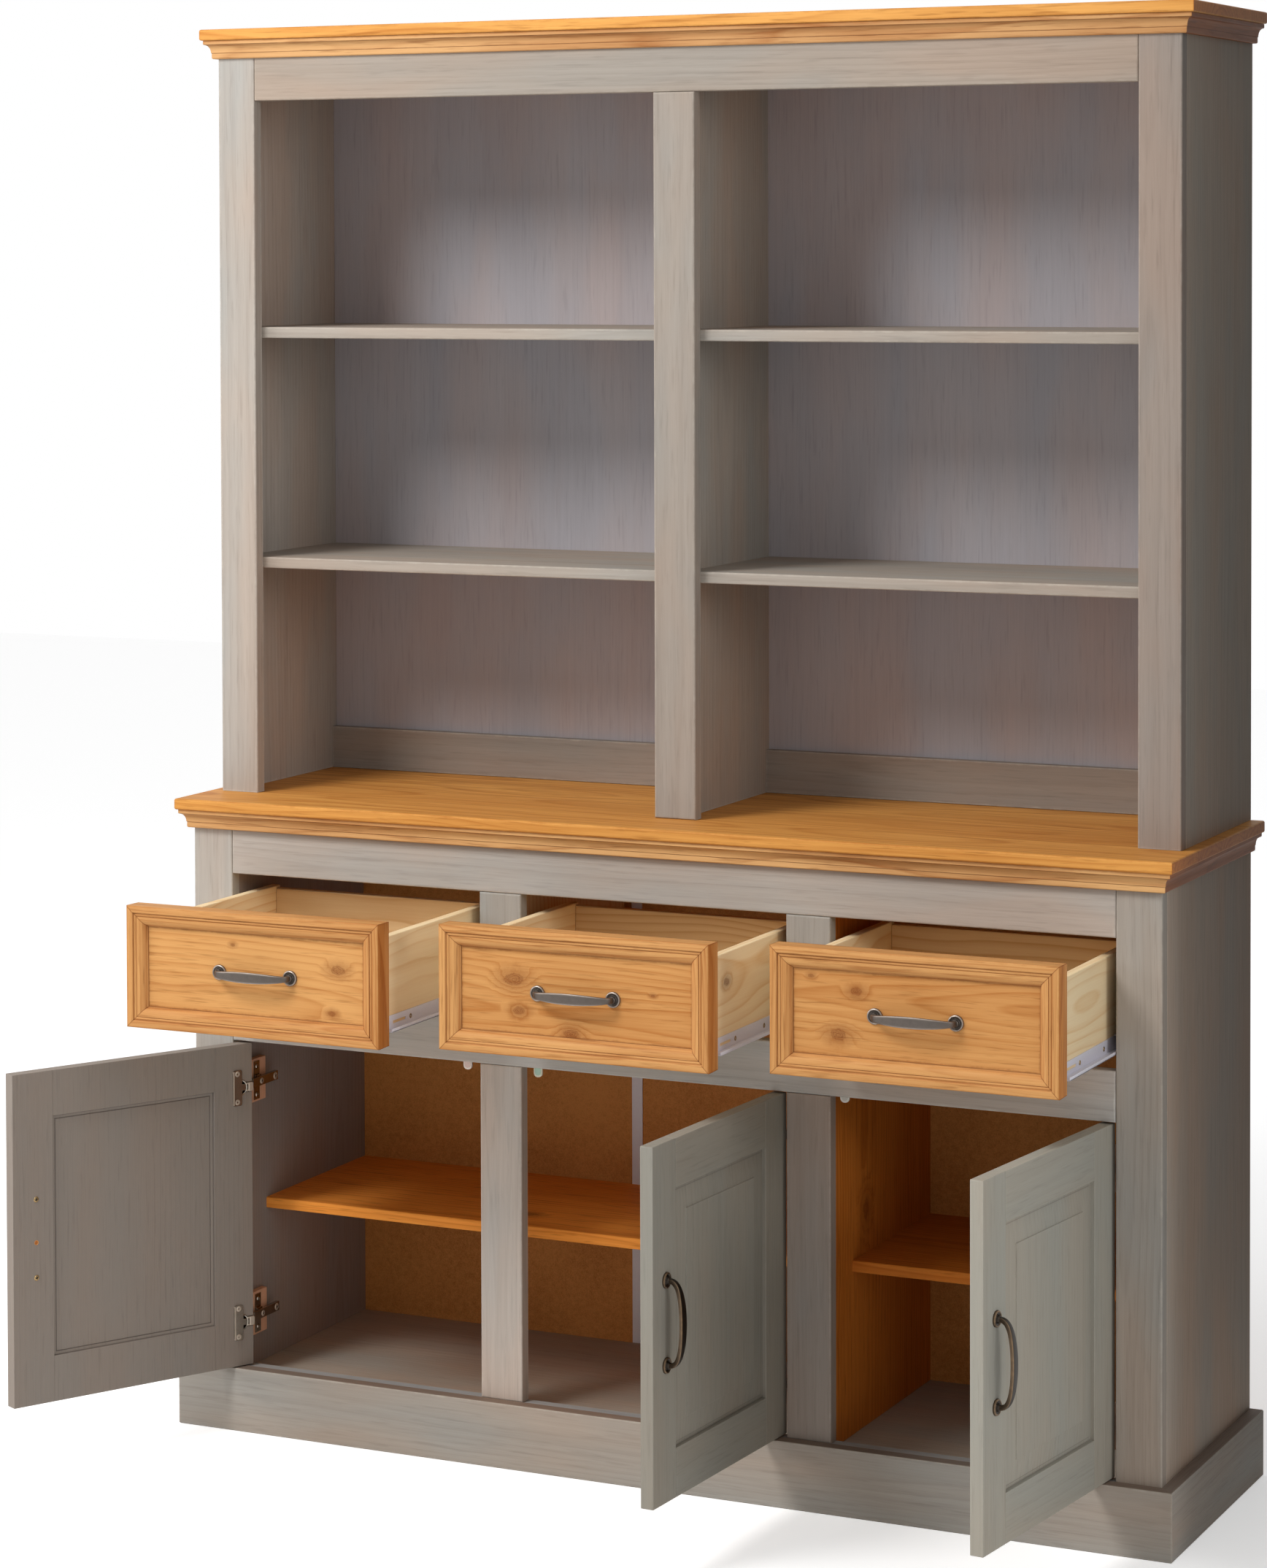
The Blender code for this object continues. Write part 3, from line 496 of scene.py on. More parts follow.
def honey_tone(**changes):
    """Pine under a honey-coloured lacquer."""
    c = colours()
    return {
        "light": c.honey_light, "dark": c.honey_dark, "edge": c.honey_dark, "knot": c.honey_knot,
        "ring": 0.0078, "sway": 0.05, "sway_run": 2.2, "contrast": 0.46, "streak": 0.85, "cloud": 0.8,
        "fibre": 0.4, "base": 0.16, "wear": 0.4, "pores": 0.42,
        "relief": 0.2, "roughness": 0.5, "gloss": 0.08, **changes,
    }


def amber_tone(**changes):
    """Darker and livelier lacquered pine of the worktop and the mouldings."""
    c = colours()
    tone = {"light": c.amber_light, "dark": c.amber_dark, "edge": c.amber_dark, "streak": 0.9, "cloud": 1.1}
    return honey_tone(**{**tone, **changes})


def pale_tone(**changes):
    """Untreated pine of the drawer boxes."""
    c = colours()
    return {
        "light": c.pale_light, "dark": c.pale_dark, "edge": c.pale_light, "knot": c.honey_knot,
        "ring": 0.009, "sway": 0.06, "sway_run": 2.6, "contrast": 0.62, "streak": 0.35, "cloud": 0.35,
        "fibre": 0.3, "base": 0.05, "wear": 0.25,
        "relief": 0.2, "roughness": 0.6, "gloss": 0.08, **changes,
    }


def hardboard(name):
    """Pressed brown fibre board."""
    graph = Graph(new_material(name))
    place = graph.place()
    fine = graph.noise(place, 620.0, 4.0, 0.75)
    coarse = graph.noise(place, 120.0, 4.0, 0.7)
    cloud = graph.noise(place, 6.0, 3.0)
    amount = graph.math("MULTIPLY_ADD", fine, 0.8, graph.math("MULTIPLY", coarse, 0.5))
    amount = graph.math("MULTIPLY_ADD", cloud, 0.5, amount)
    tinted = graph.ramp(amount, [(0.62, colours().board_dark), (1.12, colours().board_light)])
    flecks = graph.ramp(graph.noise(place, 900.0, 1.0), [(0.70, 0.0), (0.76, 0.5)])
    tinted = graph.mix(flecks, tinted, linear("3c2109"))
    graph.bump(fine, 0.3, 0.0004)
    return graph.finish(base_color=tinted, roughness=0.72, specular_ior_level=0.3)


def metal(name, tint, roughness, worn=None, metallic=1.0):
    """Metal with fine scratches; where the mesh has wear values, the worn colour shows."""
    graph = Graph(new_material(name))
    place = graph.place()
    mottle = graph.noise(place, 900.0, 3.0, 0.6)
    patch = graph.noise(place, 160.0, 3.0, 0.6)
    tone = graph.mix(graph.math("MULTIPLY", patch, 0.35), tint, (0.02, 0.018, 0.016))
    if worn is not None:
        wear = graph.add("Attribute", output="Fac", attribute_name="wear")
        rub = graph.math("MULTIPLY", wear, graph.math("MULTIPLY_ADD", patch, 1.2, 0.3), clamp=True)
        tone = graph.mix(rub, tone, worn)
    gloss = graph.vary(roughness, mottle, 0.25)
    graph.bump(mottle, 0.15, 0.0003)
    return graph.finish(base_color=tone, roughness=gloss, metallic=metallic)


def coated(name, tint, roughness=0.35):
    """Smooth plastic or coated steel, with faint dust."""
    graph = Graph(new_material(name))
    dust = graph.noise(graph.place(), 260.0, 3.0, 0.6)
    tone = graph.mix(graph.math("MULTIPLY", dust, 0.22), tint, shaded(tint, 0.6))
    graph.bump(dust, 0.05, 0.0003)
    return graph.finish(base_color=tone, roughness=roughness)


def shared(maker, name, *values, **settings):
    """Return the material of that name, made once."""
    return bpy.data.materials.get(name) or maker(name, *values, **settings)


def nickel_metal():
    """Metal of the hinges and the shelf pins. Its name isn't that of the frame's own nickel."""
    return shared(metal, "hinge nickel", colours().nickel, 0.2)


def brass_metal():
    """Metal of the screws in the runners and behind the doors' handles."""
    return shared(metal, "brass", colours().brass, 0.3)


def dress(node, material):
    """Give one of the frame's own solids a material."""
    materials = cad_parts[node].data.materials
    materials.clear()
    materials.append(material)


def new_object(name, data):
    """Put an object in the scene."""
    item = bpy.data.objects.new(name, data)
    bpy.context.scene.collection.objects.link(item)
    return item


def smooth(mesh, angle=21.0):
    """Shade smoothly across edges flatter than the angle, which a rounded edge's first step isn't."""
    mesh.shade_smooth()
    mesh.set_sharp_from_angle(angle=math.radians(angle))


def add_piece(name, mesh, material, body="root", replaced=(), matrix=None):
    """Put a piece in the scene, on its body."""
    if not mesh.vertices:
        raise RuntimeError(name + " has no mesh")
    piece = new_object(name, mesh)
    mesh.name = name
    mesh.materials.append(material)
    if matrix is not None:
        piece.matrix_world = matrix
    smooth(mesh)
    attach(piece, body)
    if replaced:
        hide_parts(*replaced)
    return piece


def to_mesh(shape):
    bmesh.ops.recalc_face_normals(shape, faces=shape.faces)
    mesh = bpy.data.meshes.new("shape")
    shape.to_mesh(mesh)
    shape.free()
    return mesh


def arc(centre, radii, start, end, steps):
    """Points of an ellipse from one angle in degrees to another."""
    points = []
    for step in range(steps + 1):
        angle = math.radians(start + (end - start) * step / steps)
        points.append((centre[0] + radii[0] * math.cos(angle), centre[1] + radii[1] * math.sin(angle)))
    return points


def skin(rows):
    """Closed shape between rows of as many points each, and over its two ends."""
    shape = bmesh.new()
    loops = [[shape.verts.new(point) for point in row] for row in rows]
    for first, second in zip(loops, loops[1:]):
        for index in range(len(first)):
            after = (index + 1) % len(first)
            shape.faces.new((first[index], first[after], second[after], second[index]))
    shape.faces.new(loops[0])
    shape.faces.new(loops[-1])
    return shape


def slab_shape(low, high, arris=0.0):
    """Box between two corners with all its edges rounded."""
    shape = bmesh.new()
    low = Vector(low)
    high = Vector(high)
    matrix = Matrix.Translation((low + high) / 2) @ Matrix.Diagonal((*(high - low), 1.0))
    bmesh.ops.create_cube(shape, size=1.0, matrix=matrix)
    if arris:
        bmesh.ops.bevel(shape, geom=list(shape.edges), offset=arris, segments=2, profile=0.5, affect="EDGES")
    return shape


def bar_shape(x, y, z, arris=0.0):
    """Box between two positions on each axis; along X they may come in either order."""
    start, end = sorted(x)
    return slab_shape((start, y[0], z[0]), (end, y[1], z[1]), arris)


def slab(low, high, arris=0.0):
    return to_mesh(slab_shape(low, high, arris))


def joined(shapes):
    """Several bmeshes as one mesh."""
    whole = bmesh.new()
    for shape in shapes:
        mesh = to_mesh(shape)
        whole.from_mesh(mesh)
        bpy.data.meshes.remove(mesh)
    return to_mesh(whole)


def lathe_shape(profile, matrix, sides=32):
    """Turn (radius, height) points about the matrix's Z axis."""
    turns = [2 * math.pi * side / sides for side in range(sides)]
    rows = []
    for radius, height in profile:
        points = [Vector((radius * math.cos(turn), radius * math.sin(turn), height)) for turn in turns]
        rows.append([matrix @ point for point in points])
    return skin(rows)


def facing(point, direction):
    """Matrix that puts +Z along the direction at the point."""
    turn = Vector(direction).to_track_quat("Z", "Y").to_matrix().to_4x4()
    return Matrix.Translation(Vector(point)) @ turn


def screw_head(point, direction, radius, depth=SCREW_DEPTH):
    """Countersunk screw head with a hollow in its middle."""
    profile = [(radius, -depth), (radius, 0.0), (radius * 0.86, depth * 0.5), (radius * 0.42, depth * 0.62)]
    profile += [(radius * 0.36, depth * 0.1), (radius * 0.1, -depth * 0.4)]
    return lathe_shape(profile, facing(point, direction), 20)


def screw_cross(point, direction, radius):
    """The two dark bars of the cross on a screw head, painted shade that stands for the cross's slots."""
    reach = radius * 0.62
    half = radius * 0.09
    bars = []
    for turn in (0.3, 0.3 + math.pi / 2):
        bar = slab_shape((-reach, -half, SCREW_DEPTH * 0.36), (reach, half, SCREW_DEPTH * 0.66))
        matrix = facing(point, direction) @ Matrix.Rotation(turn, 4, "Z")
        bmesh.ops.transform(bar, matrix=matrix, verts=bar.verts)
        bars.append(bar)
    return bars


def add_screws(name, crosses_name, spots, direction, material, dark, body="root", matrix=None):
    """Screw heads and the dark crosses on them. spots holds (point, radius)."""
    heads = [screw_head(point, direction, radius) for point, radius in spots]
    crosses = [bar for point, radius in spots for bar in screw_cross(point, direction, radius)]
    add_piece(name, joined(heads), material, body, matrix=matrix)
    add_piece(crosses_name, joined(crosses), dark, body, matrix=matrix)


def plate_shape(low, high, radius, steps=6):
    """Upright plate with rounded corners, extruded along Y."""
    outline = []
    corners = ((high[0] - radius, high[2] - radius), (low[0] + radius, high[2] - radius),
               (low[0] + radius, low[2] + radius), (high[0] - radius, low[2] + radius))
    for quarter, corner in enumerate(corners):
        outline += arc(corner, (radius, radius), 90 * quarter, 90 * quarter + 90, steps)
    return skin([[(x, y, z) for x, z in outline] for y in (low[1], high[1])])


def axis_x(word):
    """Where a door's axis stands across the front."""
    return BAYS[word] + DOORS[word]["hung"] * (OPENING_HALF - AXIS_INSET)


def door_matrix(word):
    """Place of a door's own coordinates: the foot of the hinge axis, turned to the rest angle."""
    angle = DOORS[word]["hung"] * math.radians(DOORS[word]["angle"])
    return Matrix.Translation((axis_x(word), AXIS_Y, DOOR_FOOT)) @ Matrix.Rotation(angle, 4, "Z")


def handle_x(hung):
    """Where a handle stands across its door, in the door's own coordinates."""
    return hung * (HUNG_EDGE - DOOR_WIDTH + HANDLE_INSET)


# The boards that keep their solid: the finish and the direction of the grain.
BOARDS = {
    "base_side_left": ("grey", "z"), "base_side_right": ("grey", "z"),
    "base_stile_left": ("grey", "z"), "base_stile_right": ("grey", "z"),
    "base_bottom_rail": ("grey", "x"), "base_mid_rail": ("grey", "x"), "base_top_rail": ("grey", "x"),
    "drawer_post_left": ("grey", "z"), "drawer_post_right": ("grey", "z"),
    "door_mullion_left": ("grey", "z"), "door_mullion_right": ("grey", "z"),
    "bottom_board": ("floor", "x"),
    "base_inner_side_left": ("wall", "z"), "base_inner_side_right": ("wall", "z"),
    "base_divider": ("inner", "z"), "drawer_divider": ("pale", "z"), "runner_rail": ("pale", "y"),
    "shelf_wide": ("inner", "x"), "shelf_narrow": ("inner", "x"),
    "worktop": ("staves", "x"), "crown_board": ("crown", "x"),
    "hutch_side_left": ("grey", "z"), "hutch_side_right": ("grey", "z"),
    "hutch_stile_left": ("grey", "z"), "hutch_stile_right": ("grey", "z"),
    "hutch_stile_centre": ("grey", "z"), "hutch_top_rail": ("grey", "x"),
    "hutch_partition": ("grey", "z"), "hutch_back": ("back", "z"),
    "hutch_back_rail_left": ("rail", "x"), "hutch_back_rail_right": ("rail", "x"),
    "hutch_shelf_lower_left": ("grey", "x"), "hutch_shelf_lower_right": ("grey", "x"),
    "hutch_shelf_upper_left": ("grey", "x"), "hutch_shelf_upper_right": ("grey", "x"),
}

# Painted light and shade: factors on the red, green and blue of a board's finish, which make it lighter or
# darker where the lamps reach it more or less.
PAINTED_LIGHT = {
    "base_top_rail": (1.14, 1.16, 1.2),
    "base_mid_rail": (1.18, 1.24, 1.32),
    "base_stile_left": (1.1, 1.16, 1.22),
    "base_side_right": (1.4, 1.26, 1.16),
    "base_divider": (0.82, 0.7, 0.72),
    "drawer_post_left": (0.9, 0.95, 0.99),
    "drawer_post_right": (0.9, 0.95, 0.99),
    "door_mullion_left": (1.34, 1.34, 1.38),
    "door_mullion_right": (0.86, 0.83, 0.84),
    "shelf_narrow": (0.78, 0.66, 0.66),
    "shelf_wide": (1.3, 1.25, 1.5),
    "worktop": (0.97, 0.95, 0.9),
    "hutch_top_rail": (0.94, 0.9, 0.87),
    "hutch_stile_left": (1.1, 1.12, 1.15),
    "hutch_stile_centre": (0.89, 0.88, 0.88),
    "hutch_stile_right": (0.84, 0.8, 0.8),
    "hutch_side_left": (1.1, 1.1, 1.12),
    "hutch_side_right": (1.36, 1.28, 1.2),
}

# Width of the staves that the worktop is glued up from.
STAVE = 0.092


class BUFFET_OT_boards(bpy.types.Operator):
    """Give the plain boards of the base and the hutch their finishes"""
    bl_idname = "buffet.boards"
    bl_label = "Finish the boards"

    def execute(self, context):
        tones = self.tones()
        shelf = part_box("shelf_wide")[1]
        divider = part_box("base_divider")[1]
        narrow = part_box("shelf_narrow")[1]
        knots = {
            "shelf_wide": ((-0.232, 0.150, shelf.z, 0.0065), (0.02, 0.210, shelf.z, 0.0050)),
            "base_divider": ((divider.x, 0.135, narrow.z + 0.052, 0.0095),),
        }
        for number, (node, (finish, grain)) in enumerate(BOARDS.items()):
            low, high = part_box(node)
            tone = dict(tones[finish])
            # The board's factors of painted light and shade.
            shade = PAINTED_LIGHT.get(node, (1, 1, 1))
            for key in ("light", "dark", "edge"):
                tone[key] = tuple(value * factor for value, factor in zip(tone[key], shade))
            material = wood("board " + node, tone, low, high, grain, 1.7 + 2.3 * number,
                            STAVE if finish == "staves" else 0.0, knots.get(node, ()))
            # Painted cool light on the bottom rail's top face: less red, more green and blue.
            if node == "base_bottom_rail":
                paint_face_shading(material, "Z", high.z, (0.92, 1.06, 1.22))
            # Painted shade on the right end faces of the worktop and the crown.
            if finish in ("staves", "crown"):
                paint_face_shading(material, "X", high.x, (0.72, 0.52, 0.3))
            dress(node, material)
        dress("base_back", hardboard("hardboard back"))
        return {"FINISHED"}

    def tones(self):
        c = colours()
        return {
            "grey": grey_tone(),
            "floor": grey_tone(light=linear("b3a799"), dark=linear("968a7d"), wear=0.1),
            "wall": grey_tone(light=c.wall_light, dark=c.wall_dark, edge=c.wall_light, wear=0.1, streak=0.3),
            "back": grey_tone(light=c.back_light, dark=c.back_dark, edge=c.back_light, ring=0.011,
                              contrast=0.1, streak=0.4, cloud=0.5, wear=0.0, patch=0.32),
            "rail": grey_tone(light=linear("a4998e"), dark=linear("887d73")),
            # The cupboard pine carries painted warm bounce light.
            "inner": honey_tone(light=c.inner_light, dark=c.inner_dark, edge=c.inner_light, streak=0.7),
            "crown": amber_tone(),
            "staves": amber_tone(base=0.2, cloud=0.8, streak=1.3, contrast=0.55),
            "pale": pale_tone(),
        }


def mitred_lengths(node, outline, half, front, rear, inner_side, inner_front, tone, slot, seed):
    """Three lengths of a moulding, mitred at the front corners. outline holds (inset, height) points."""
    top = outline[0][1]
    section = [(inset, inset, height) for inset, height in outline]
    section += [(inner_side, inner_front, height) for height in (outline[-1][1], top)]
    runs = {
        "front": ((-1, False), (1, False)),
        "left": ((-1, True), (-1, False)),
        "right": ((1, False), (1, True)),
    }
    for number, (word, ends) in enumerate(runs.items()):
        rows = []
        for side, at_rear in ends:
            rows.append([(side * (half - across), rear if at_rear else front + ahead, height)
                         for across, ahead, height in section])
        mesh = to_mesh(skin(rows))
        low = Vector([min(vertex.co[axis] for vertex in mesh.vertices) for axis in range(3)])
        high = Vector([max(vertex.co[axis] for vertex in mesh.vertices) for axis in range(3)])
        grain = "x" if word == "front" else "y"
        shade = dict(tone)
        # Painted shade: the right length of each cornice takes a darker honey.
        if word == "right" and slot == "honey_pine":
            shade.update(light=linear("8a4e1c"), dark=linear("582b0a"))
        material = wood(node + " " + word, shade, low, high, grain, seed + 3.1 * number)
        if slot == "honey_pine":
            # Painted shade: dark lines along the cornice's two grooves.
            grooves = [top - depth for depth in CORNICE_GROOVES]
            shade_grooves(material, grooves, 0.0008, 0.6, linear("5a2c10"))
        else:
            # Painted shade on the plinth's top face.
            paint_face_shading(material, "Z", top, (0.58, 0.50, 0.46))
        add_piece(node + "_" + word, mesh, material, replaced=(node,))


# How far below the cornice's top its two grooves lie.
CORNICE_GROOVES = (0.0050, 0.0157)


def cornice_outline(top):
    """Fascia, cove and rounded foot of the moulding, from the top down."""
    points = [(0.0035, top), (0.0035, top - 0.0043), (0.0042, top - 0.005)]
    points += arc((0.0046, top - 0.0154), (0.0063, 0.0102), 90, 0, 10)[1:]
    points += [(0.0116, top - 0.0156), (0.0116, top - 0.0204)]
    points += arc((0.0136, top - 0.021), (0.002, 0.002), 180, 270, 5)[1:]
    return points


class BUFFET_OT_mouldings(bpy.types.Operator):
    """Put the mitred mouldings under the worktop and the crown"""
    bl_idname = "buffet.mouldings"
    bl_label = "Build the mouldings"

    def execute(self, context):
        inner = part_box("base_side_right")[1].x
        mouldings = (
            ("worktop_moulding", "worktop", "base_stile_left", "daaa72", "9c5e2e", 40.0),
            ("crown_moulding", "crown_board", "hutch_stile_left", "cfa06c", "995c2e", 53.0),
        )
        for node, board, stile, light, dark, seed in mouldings:
            low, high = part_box(board)
            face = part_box(stile)[0].y
            tone = amber_tone(light=linear(light), dark=linear(dark), base=0.15, streak=0.8, cloud=1.7)
            mitred_lengths(node, cornice_outline(low.z - TOUCH), high.x, low.y, high.y,
                           high.x - inner - TOUCH, face - low.y - TOUCH, tone, "honey_pine", seed)
        return {"FINISHED"}


class BUFFET_OT_plinth(bpy.types.Operator):
    """Put the three mitred boards of the plinth round the foot"""
    bl_idname = "buffet.plinth"
    bl_label = "Build the plinth"

    def execute(self, context):
        low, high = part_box("plinth")
        rounding = 0.002
        chamfer = 0.0012
        outline = arc((rounding, high.z - rounding), (rounding, rounding), 90, 180, 4)
        outline += [(0.0, chamfer), (chamfer, 0.0)]
        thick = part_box("base_stile_left")[0].y - low.y - TOUCH
        mitred_lengths("plinth", outline, high.x, low.y, high.y, thick, thick, grey_tone(), "grey_wash", 61.0)
        return {"FINISHED"}


# Knots in the drawer fronts: across and up from the handle's middle, and their radius.
FRONT_KNOTS = {
    "left": ((0.112, 0.014, 0.0050), (0.104, -0.038, 0.0030), (-0.03, 0.034, 0.0018)),
    "middle": ((-0.079, 0.014, 0.0066), (-0.072, -0.022, 0.0042), (-0.006, -0.044, 0.0050),
               (0.098, 0.008, 0.0016)),
    "right": ((-0.092, -0.024, 0.0056), (-0.07, 0.026, 0.0040), (-0.125, 0.04, 0.002)),
}

# How dark the field of each drawer's front is: painted shade, darker from left to right, away from the lamps
# at the left.
FIELD_SHADE = {"left": 0.04, "middle": 0.14, "right": 0.24}


def front_outline():
    """Face of the drawer fronts' moulding, as (inset, depth) points from the outer edge inwards."""
    points = arc((0.0018, 0.0018), (0.0018, 0.0018), 180, 270, 4)
    points += [(0.0078, 0.0002), (0.0086, 0.0009), (0.0089, 0.0026), (0.0094, 0.0029)]
    steps = 6
    for step in range(1, steps):
        angle = math.pi * step / steps
        points.append((0.0094 + 0.0032 * step / steps, 0.0029 - 0.0009 * math.sin(angle)))
    points += [(0.0127, 0.0031), (0.0130, 0.0036), (0.0133, 0.0024)]
    points += arc((0.0133, 0.0096), (0.0102, 0.0072), -90, 0, 8)[1:]
    points += [(0.0240, 0.0098), (FRONT_MEMBER, 0.0100), (FRONT_MEMBER, 0.0112)]
    return points


class BUFFET_OT_drawer_fronts(bpy.types.Operator):
    """Build the drawer fronts: a field board inside four mitred mouldings"""
    bl_idname = "buffet.drawer_fronts"
    bl_label = "Build the drawer fronts"

    def execute(self, context):
        for number, word in enumerate(BAYS):
            node = "drawer_" + word + "_front"
            body = "drawer_" + word
            low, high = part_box(node)
            middle = (low + high) / 2
            self.mouldings(node, body, number, low, high, middle)
            inset = FRONT_MEMBER + 0.0002
            field_low = Vector((low.x + inset, low.y + FIELD_FACE, low.z + inset))
            field_high = Vector((high.x - inset, low.y + FIELD_BACK, high.z - inset))
            knots = [(middle.x + x, field_low.y, middle.z + z, radius) for x, z, radius in FRONT_KNOTS[word]]
            tone = honey_tone(edge=colours().honey_knot, base=FIELD_SHADE[word])
            material = wood(node + " field", tone, field_low, field_high, "x", 90.0 + 7.7 * number,
                            knots=knots)
            mesh = slab(field_low, field_high)
            add_piece(node + "_field", mesh, material, body, (node,))
        return {"FINISHED"}

    def mouldings(self, node, body, number, low, high, middle):
        """The four lengths round the field, each between two corners of the front."""
        half_x = (high.x - low.x) / 2
        half_z = (high.z - low.z) / 2
        back = high.y - low.y
        section = front_outline() + [(FRONT_MEMBER, back), (0.0004, back)]
        corners = ((-1, -1), (1, -1), (1, 1), (-1, 1))
        tone = honey_tone(light=linear("d39d62"), dark=linear("9f5c26"), base=0.2, ring=0.0052, wear=0.3,
                          streak=0.95, cloud=0.9)
        for index, side in enumerate(("bottom", "right", "top", "left")):
            rows = []
            for across, up in (corners[index], corners[(index + 1) % 4]):
                rows.append([(middle.x + across * (half_x - inset), low.y + depth,
                              middle.z + up * (half_z - inset)) for inset, depth in section])
            mesh = to_mesh(skin(rows))
            grain = "x" if side in ("bottom", "top") else "z"
            seed = 71.0 + 5.3 * number + 1.9 * index
            material = wood(node + " " + side, tone, low, high, grain, seed)
            shade_mitres(material, middle, half_x, half_z)
            # Painted shade on the right end of each drawer front's moulding.
            if side == "right":
                paint_face_shading(material, "X", high.x, (0.88, 0.70, 0.50))
            add_piece(node + "_" + side, mesh, material, body, (node,))


# A drawer box: how far its sides stand inside the space for the runners, its boards' thickness,
# and how far it stays below the top of its solid.
BOX_INSET = 0.0125
BOX_WALL = 0.012
BOX_DROP = 0.007


class BUFFET_OT_drawer_boxes(bpy.types.Operator):
    """Build the drawer boxes from their boards, with the runner members under their sides"""
    bl_idname = "buffet.drawer_boxes"
    bl_label = "Build the drawer boxes"

    def execute(self, context):
        for number, word in enumerate(BAYS):
            node = "drawer_" + word + "_box"
            body = "drawer_" + word
            low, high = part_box(node)
            half = (high.x - low.x) / 2 - BOX_INSET
            x = (low.x + high.x) / 2
            outer = (x - half, x + half)
            inner = (x - half + BOX_WALL, x + half - BOX_WALL)
            front = low.y + BOX_WALL
            back = high.y - BOX_WALL
            top = high.z - BOX_DROP
            boards = {
                "side_left": ((outer[0], low.y, low.z), (inner[0], high.y, top), "y"),
                "side_right": ((inner[1], low.y, low.z), (outer[1], high.y, top), "y"),
                "front": ((inner[0], low.y, low.z), (inner[1], front, top), "x"),
                "back": ((inner[0], back, low.z), (inner[1], high.y, top - 0.003), "x"),
                "bottom": ((inner[0], front, low.z + 0.0005), (inner[1], back, low.z + 0.004), "x"),
            }
            for index, (part, (corner, opposite, grain)) in enumerate(boards.items()):
                corner = Vector(corner)
                opposite = Vector(opposite)
                knots = ()
                if word == "middle" and part == "side_right":
                    knots = ((opposite.x, corner.y + 0.048, opposite.z - 0.034, 0.0042),)
                tone = pale_tone()
                # Painted shade inside the drawer: the box's front, back and bottom take a darker pine.
                if not part.startswith("side"):
                    tone = pale_tone(light=linear("eed2a6"), dark=linear("cf9f66"), base=0.12)
                seed = 111.0 + 9.1 * number + 3.3 * index
                material = wood(node + " " + part, tone, corner, opposite, grain, seed, knots=knots)
                mesh = slab(corner, opposite, 0.0015 if part != "bottom" else 0.0)
                add_piece(node + "_" + part, mesh, material, body, (node,))
            for side, name in ((-1, "left"), (1, "right")):
                self.runner(node, node + "_runner_" + name, body, x + side * half, side, low, high)
        return {"FINISHED"}

    def runner(self, node, name, body, wall, side, low, high):
        """A folded steel member: an upright face with two slots, a foot under it, and a lip that slides."""
        sheet = 0.0014
        bottom = low.z + 0.0002
        top = low.z + 0.0168
        face = wall + side * 0.0012
        tip = wall + side * 0.0122
        start = low.y + 0.004
        end = high.y
        slot_z = (bottom + 0.0062, bottom + 0.0098)
        slots = ((start + 0.022, start + 0.055), (end - 0.075, end - 0.045))
        shapes = [
            bar_shape((wall, face), (start, end), (bottom, slot_z[0])),
            bar_shape((wall, face), (start, end), (slot_z[1], top)),
        ]
        for y in ((start, slots[0][0]), (slots[0][1], slots[1][0]), (slots[1][1], end)):
            shapes.append(bar_shape((wall, face), y, slot_z))
        shapes.append(bar_shape((face, tip), (start, end), (bottom, bottom + sheet), 0.0004))
        shapes.append(bar_shape((tip - side * sheet, tip), (start, end), (bottom, bottom + 0.0042), 0.0004))
        steel = shared(coated, "coated runner steel", colours().runner, 0.32)
        add_piece(name, joined(shapes), steel, body, (node,))
        heads = []
        for y in (slots[0][1] + 0.012, (start + end) / 2, slots[1][0] - 0.012):
            heads.append(screw_head((face, y, (slot_z[0] + slot_z[1]) / 2), (side, 0, 0), 0.0030, 0.0008))
        add_piece(name + "_screws", joined(heads), brass_metal(), body)


# Foot of a handle: (share of its radius, height) points of its turned rings.
ROSETTE = (
    (1.0, 0.0), (1.0, 0.0014), (0.96, 0.0023), (0.87, 0.0028), (0.78, 0.0025),
    (0.68, 0.0016), (0.58, 0.0013), (0.50, 0.0022), (0.44, 0.0044), (0.36, 0.0052),
)


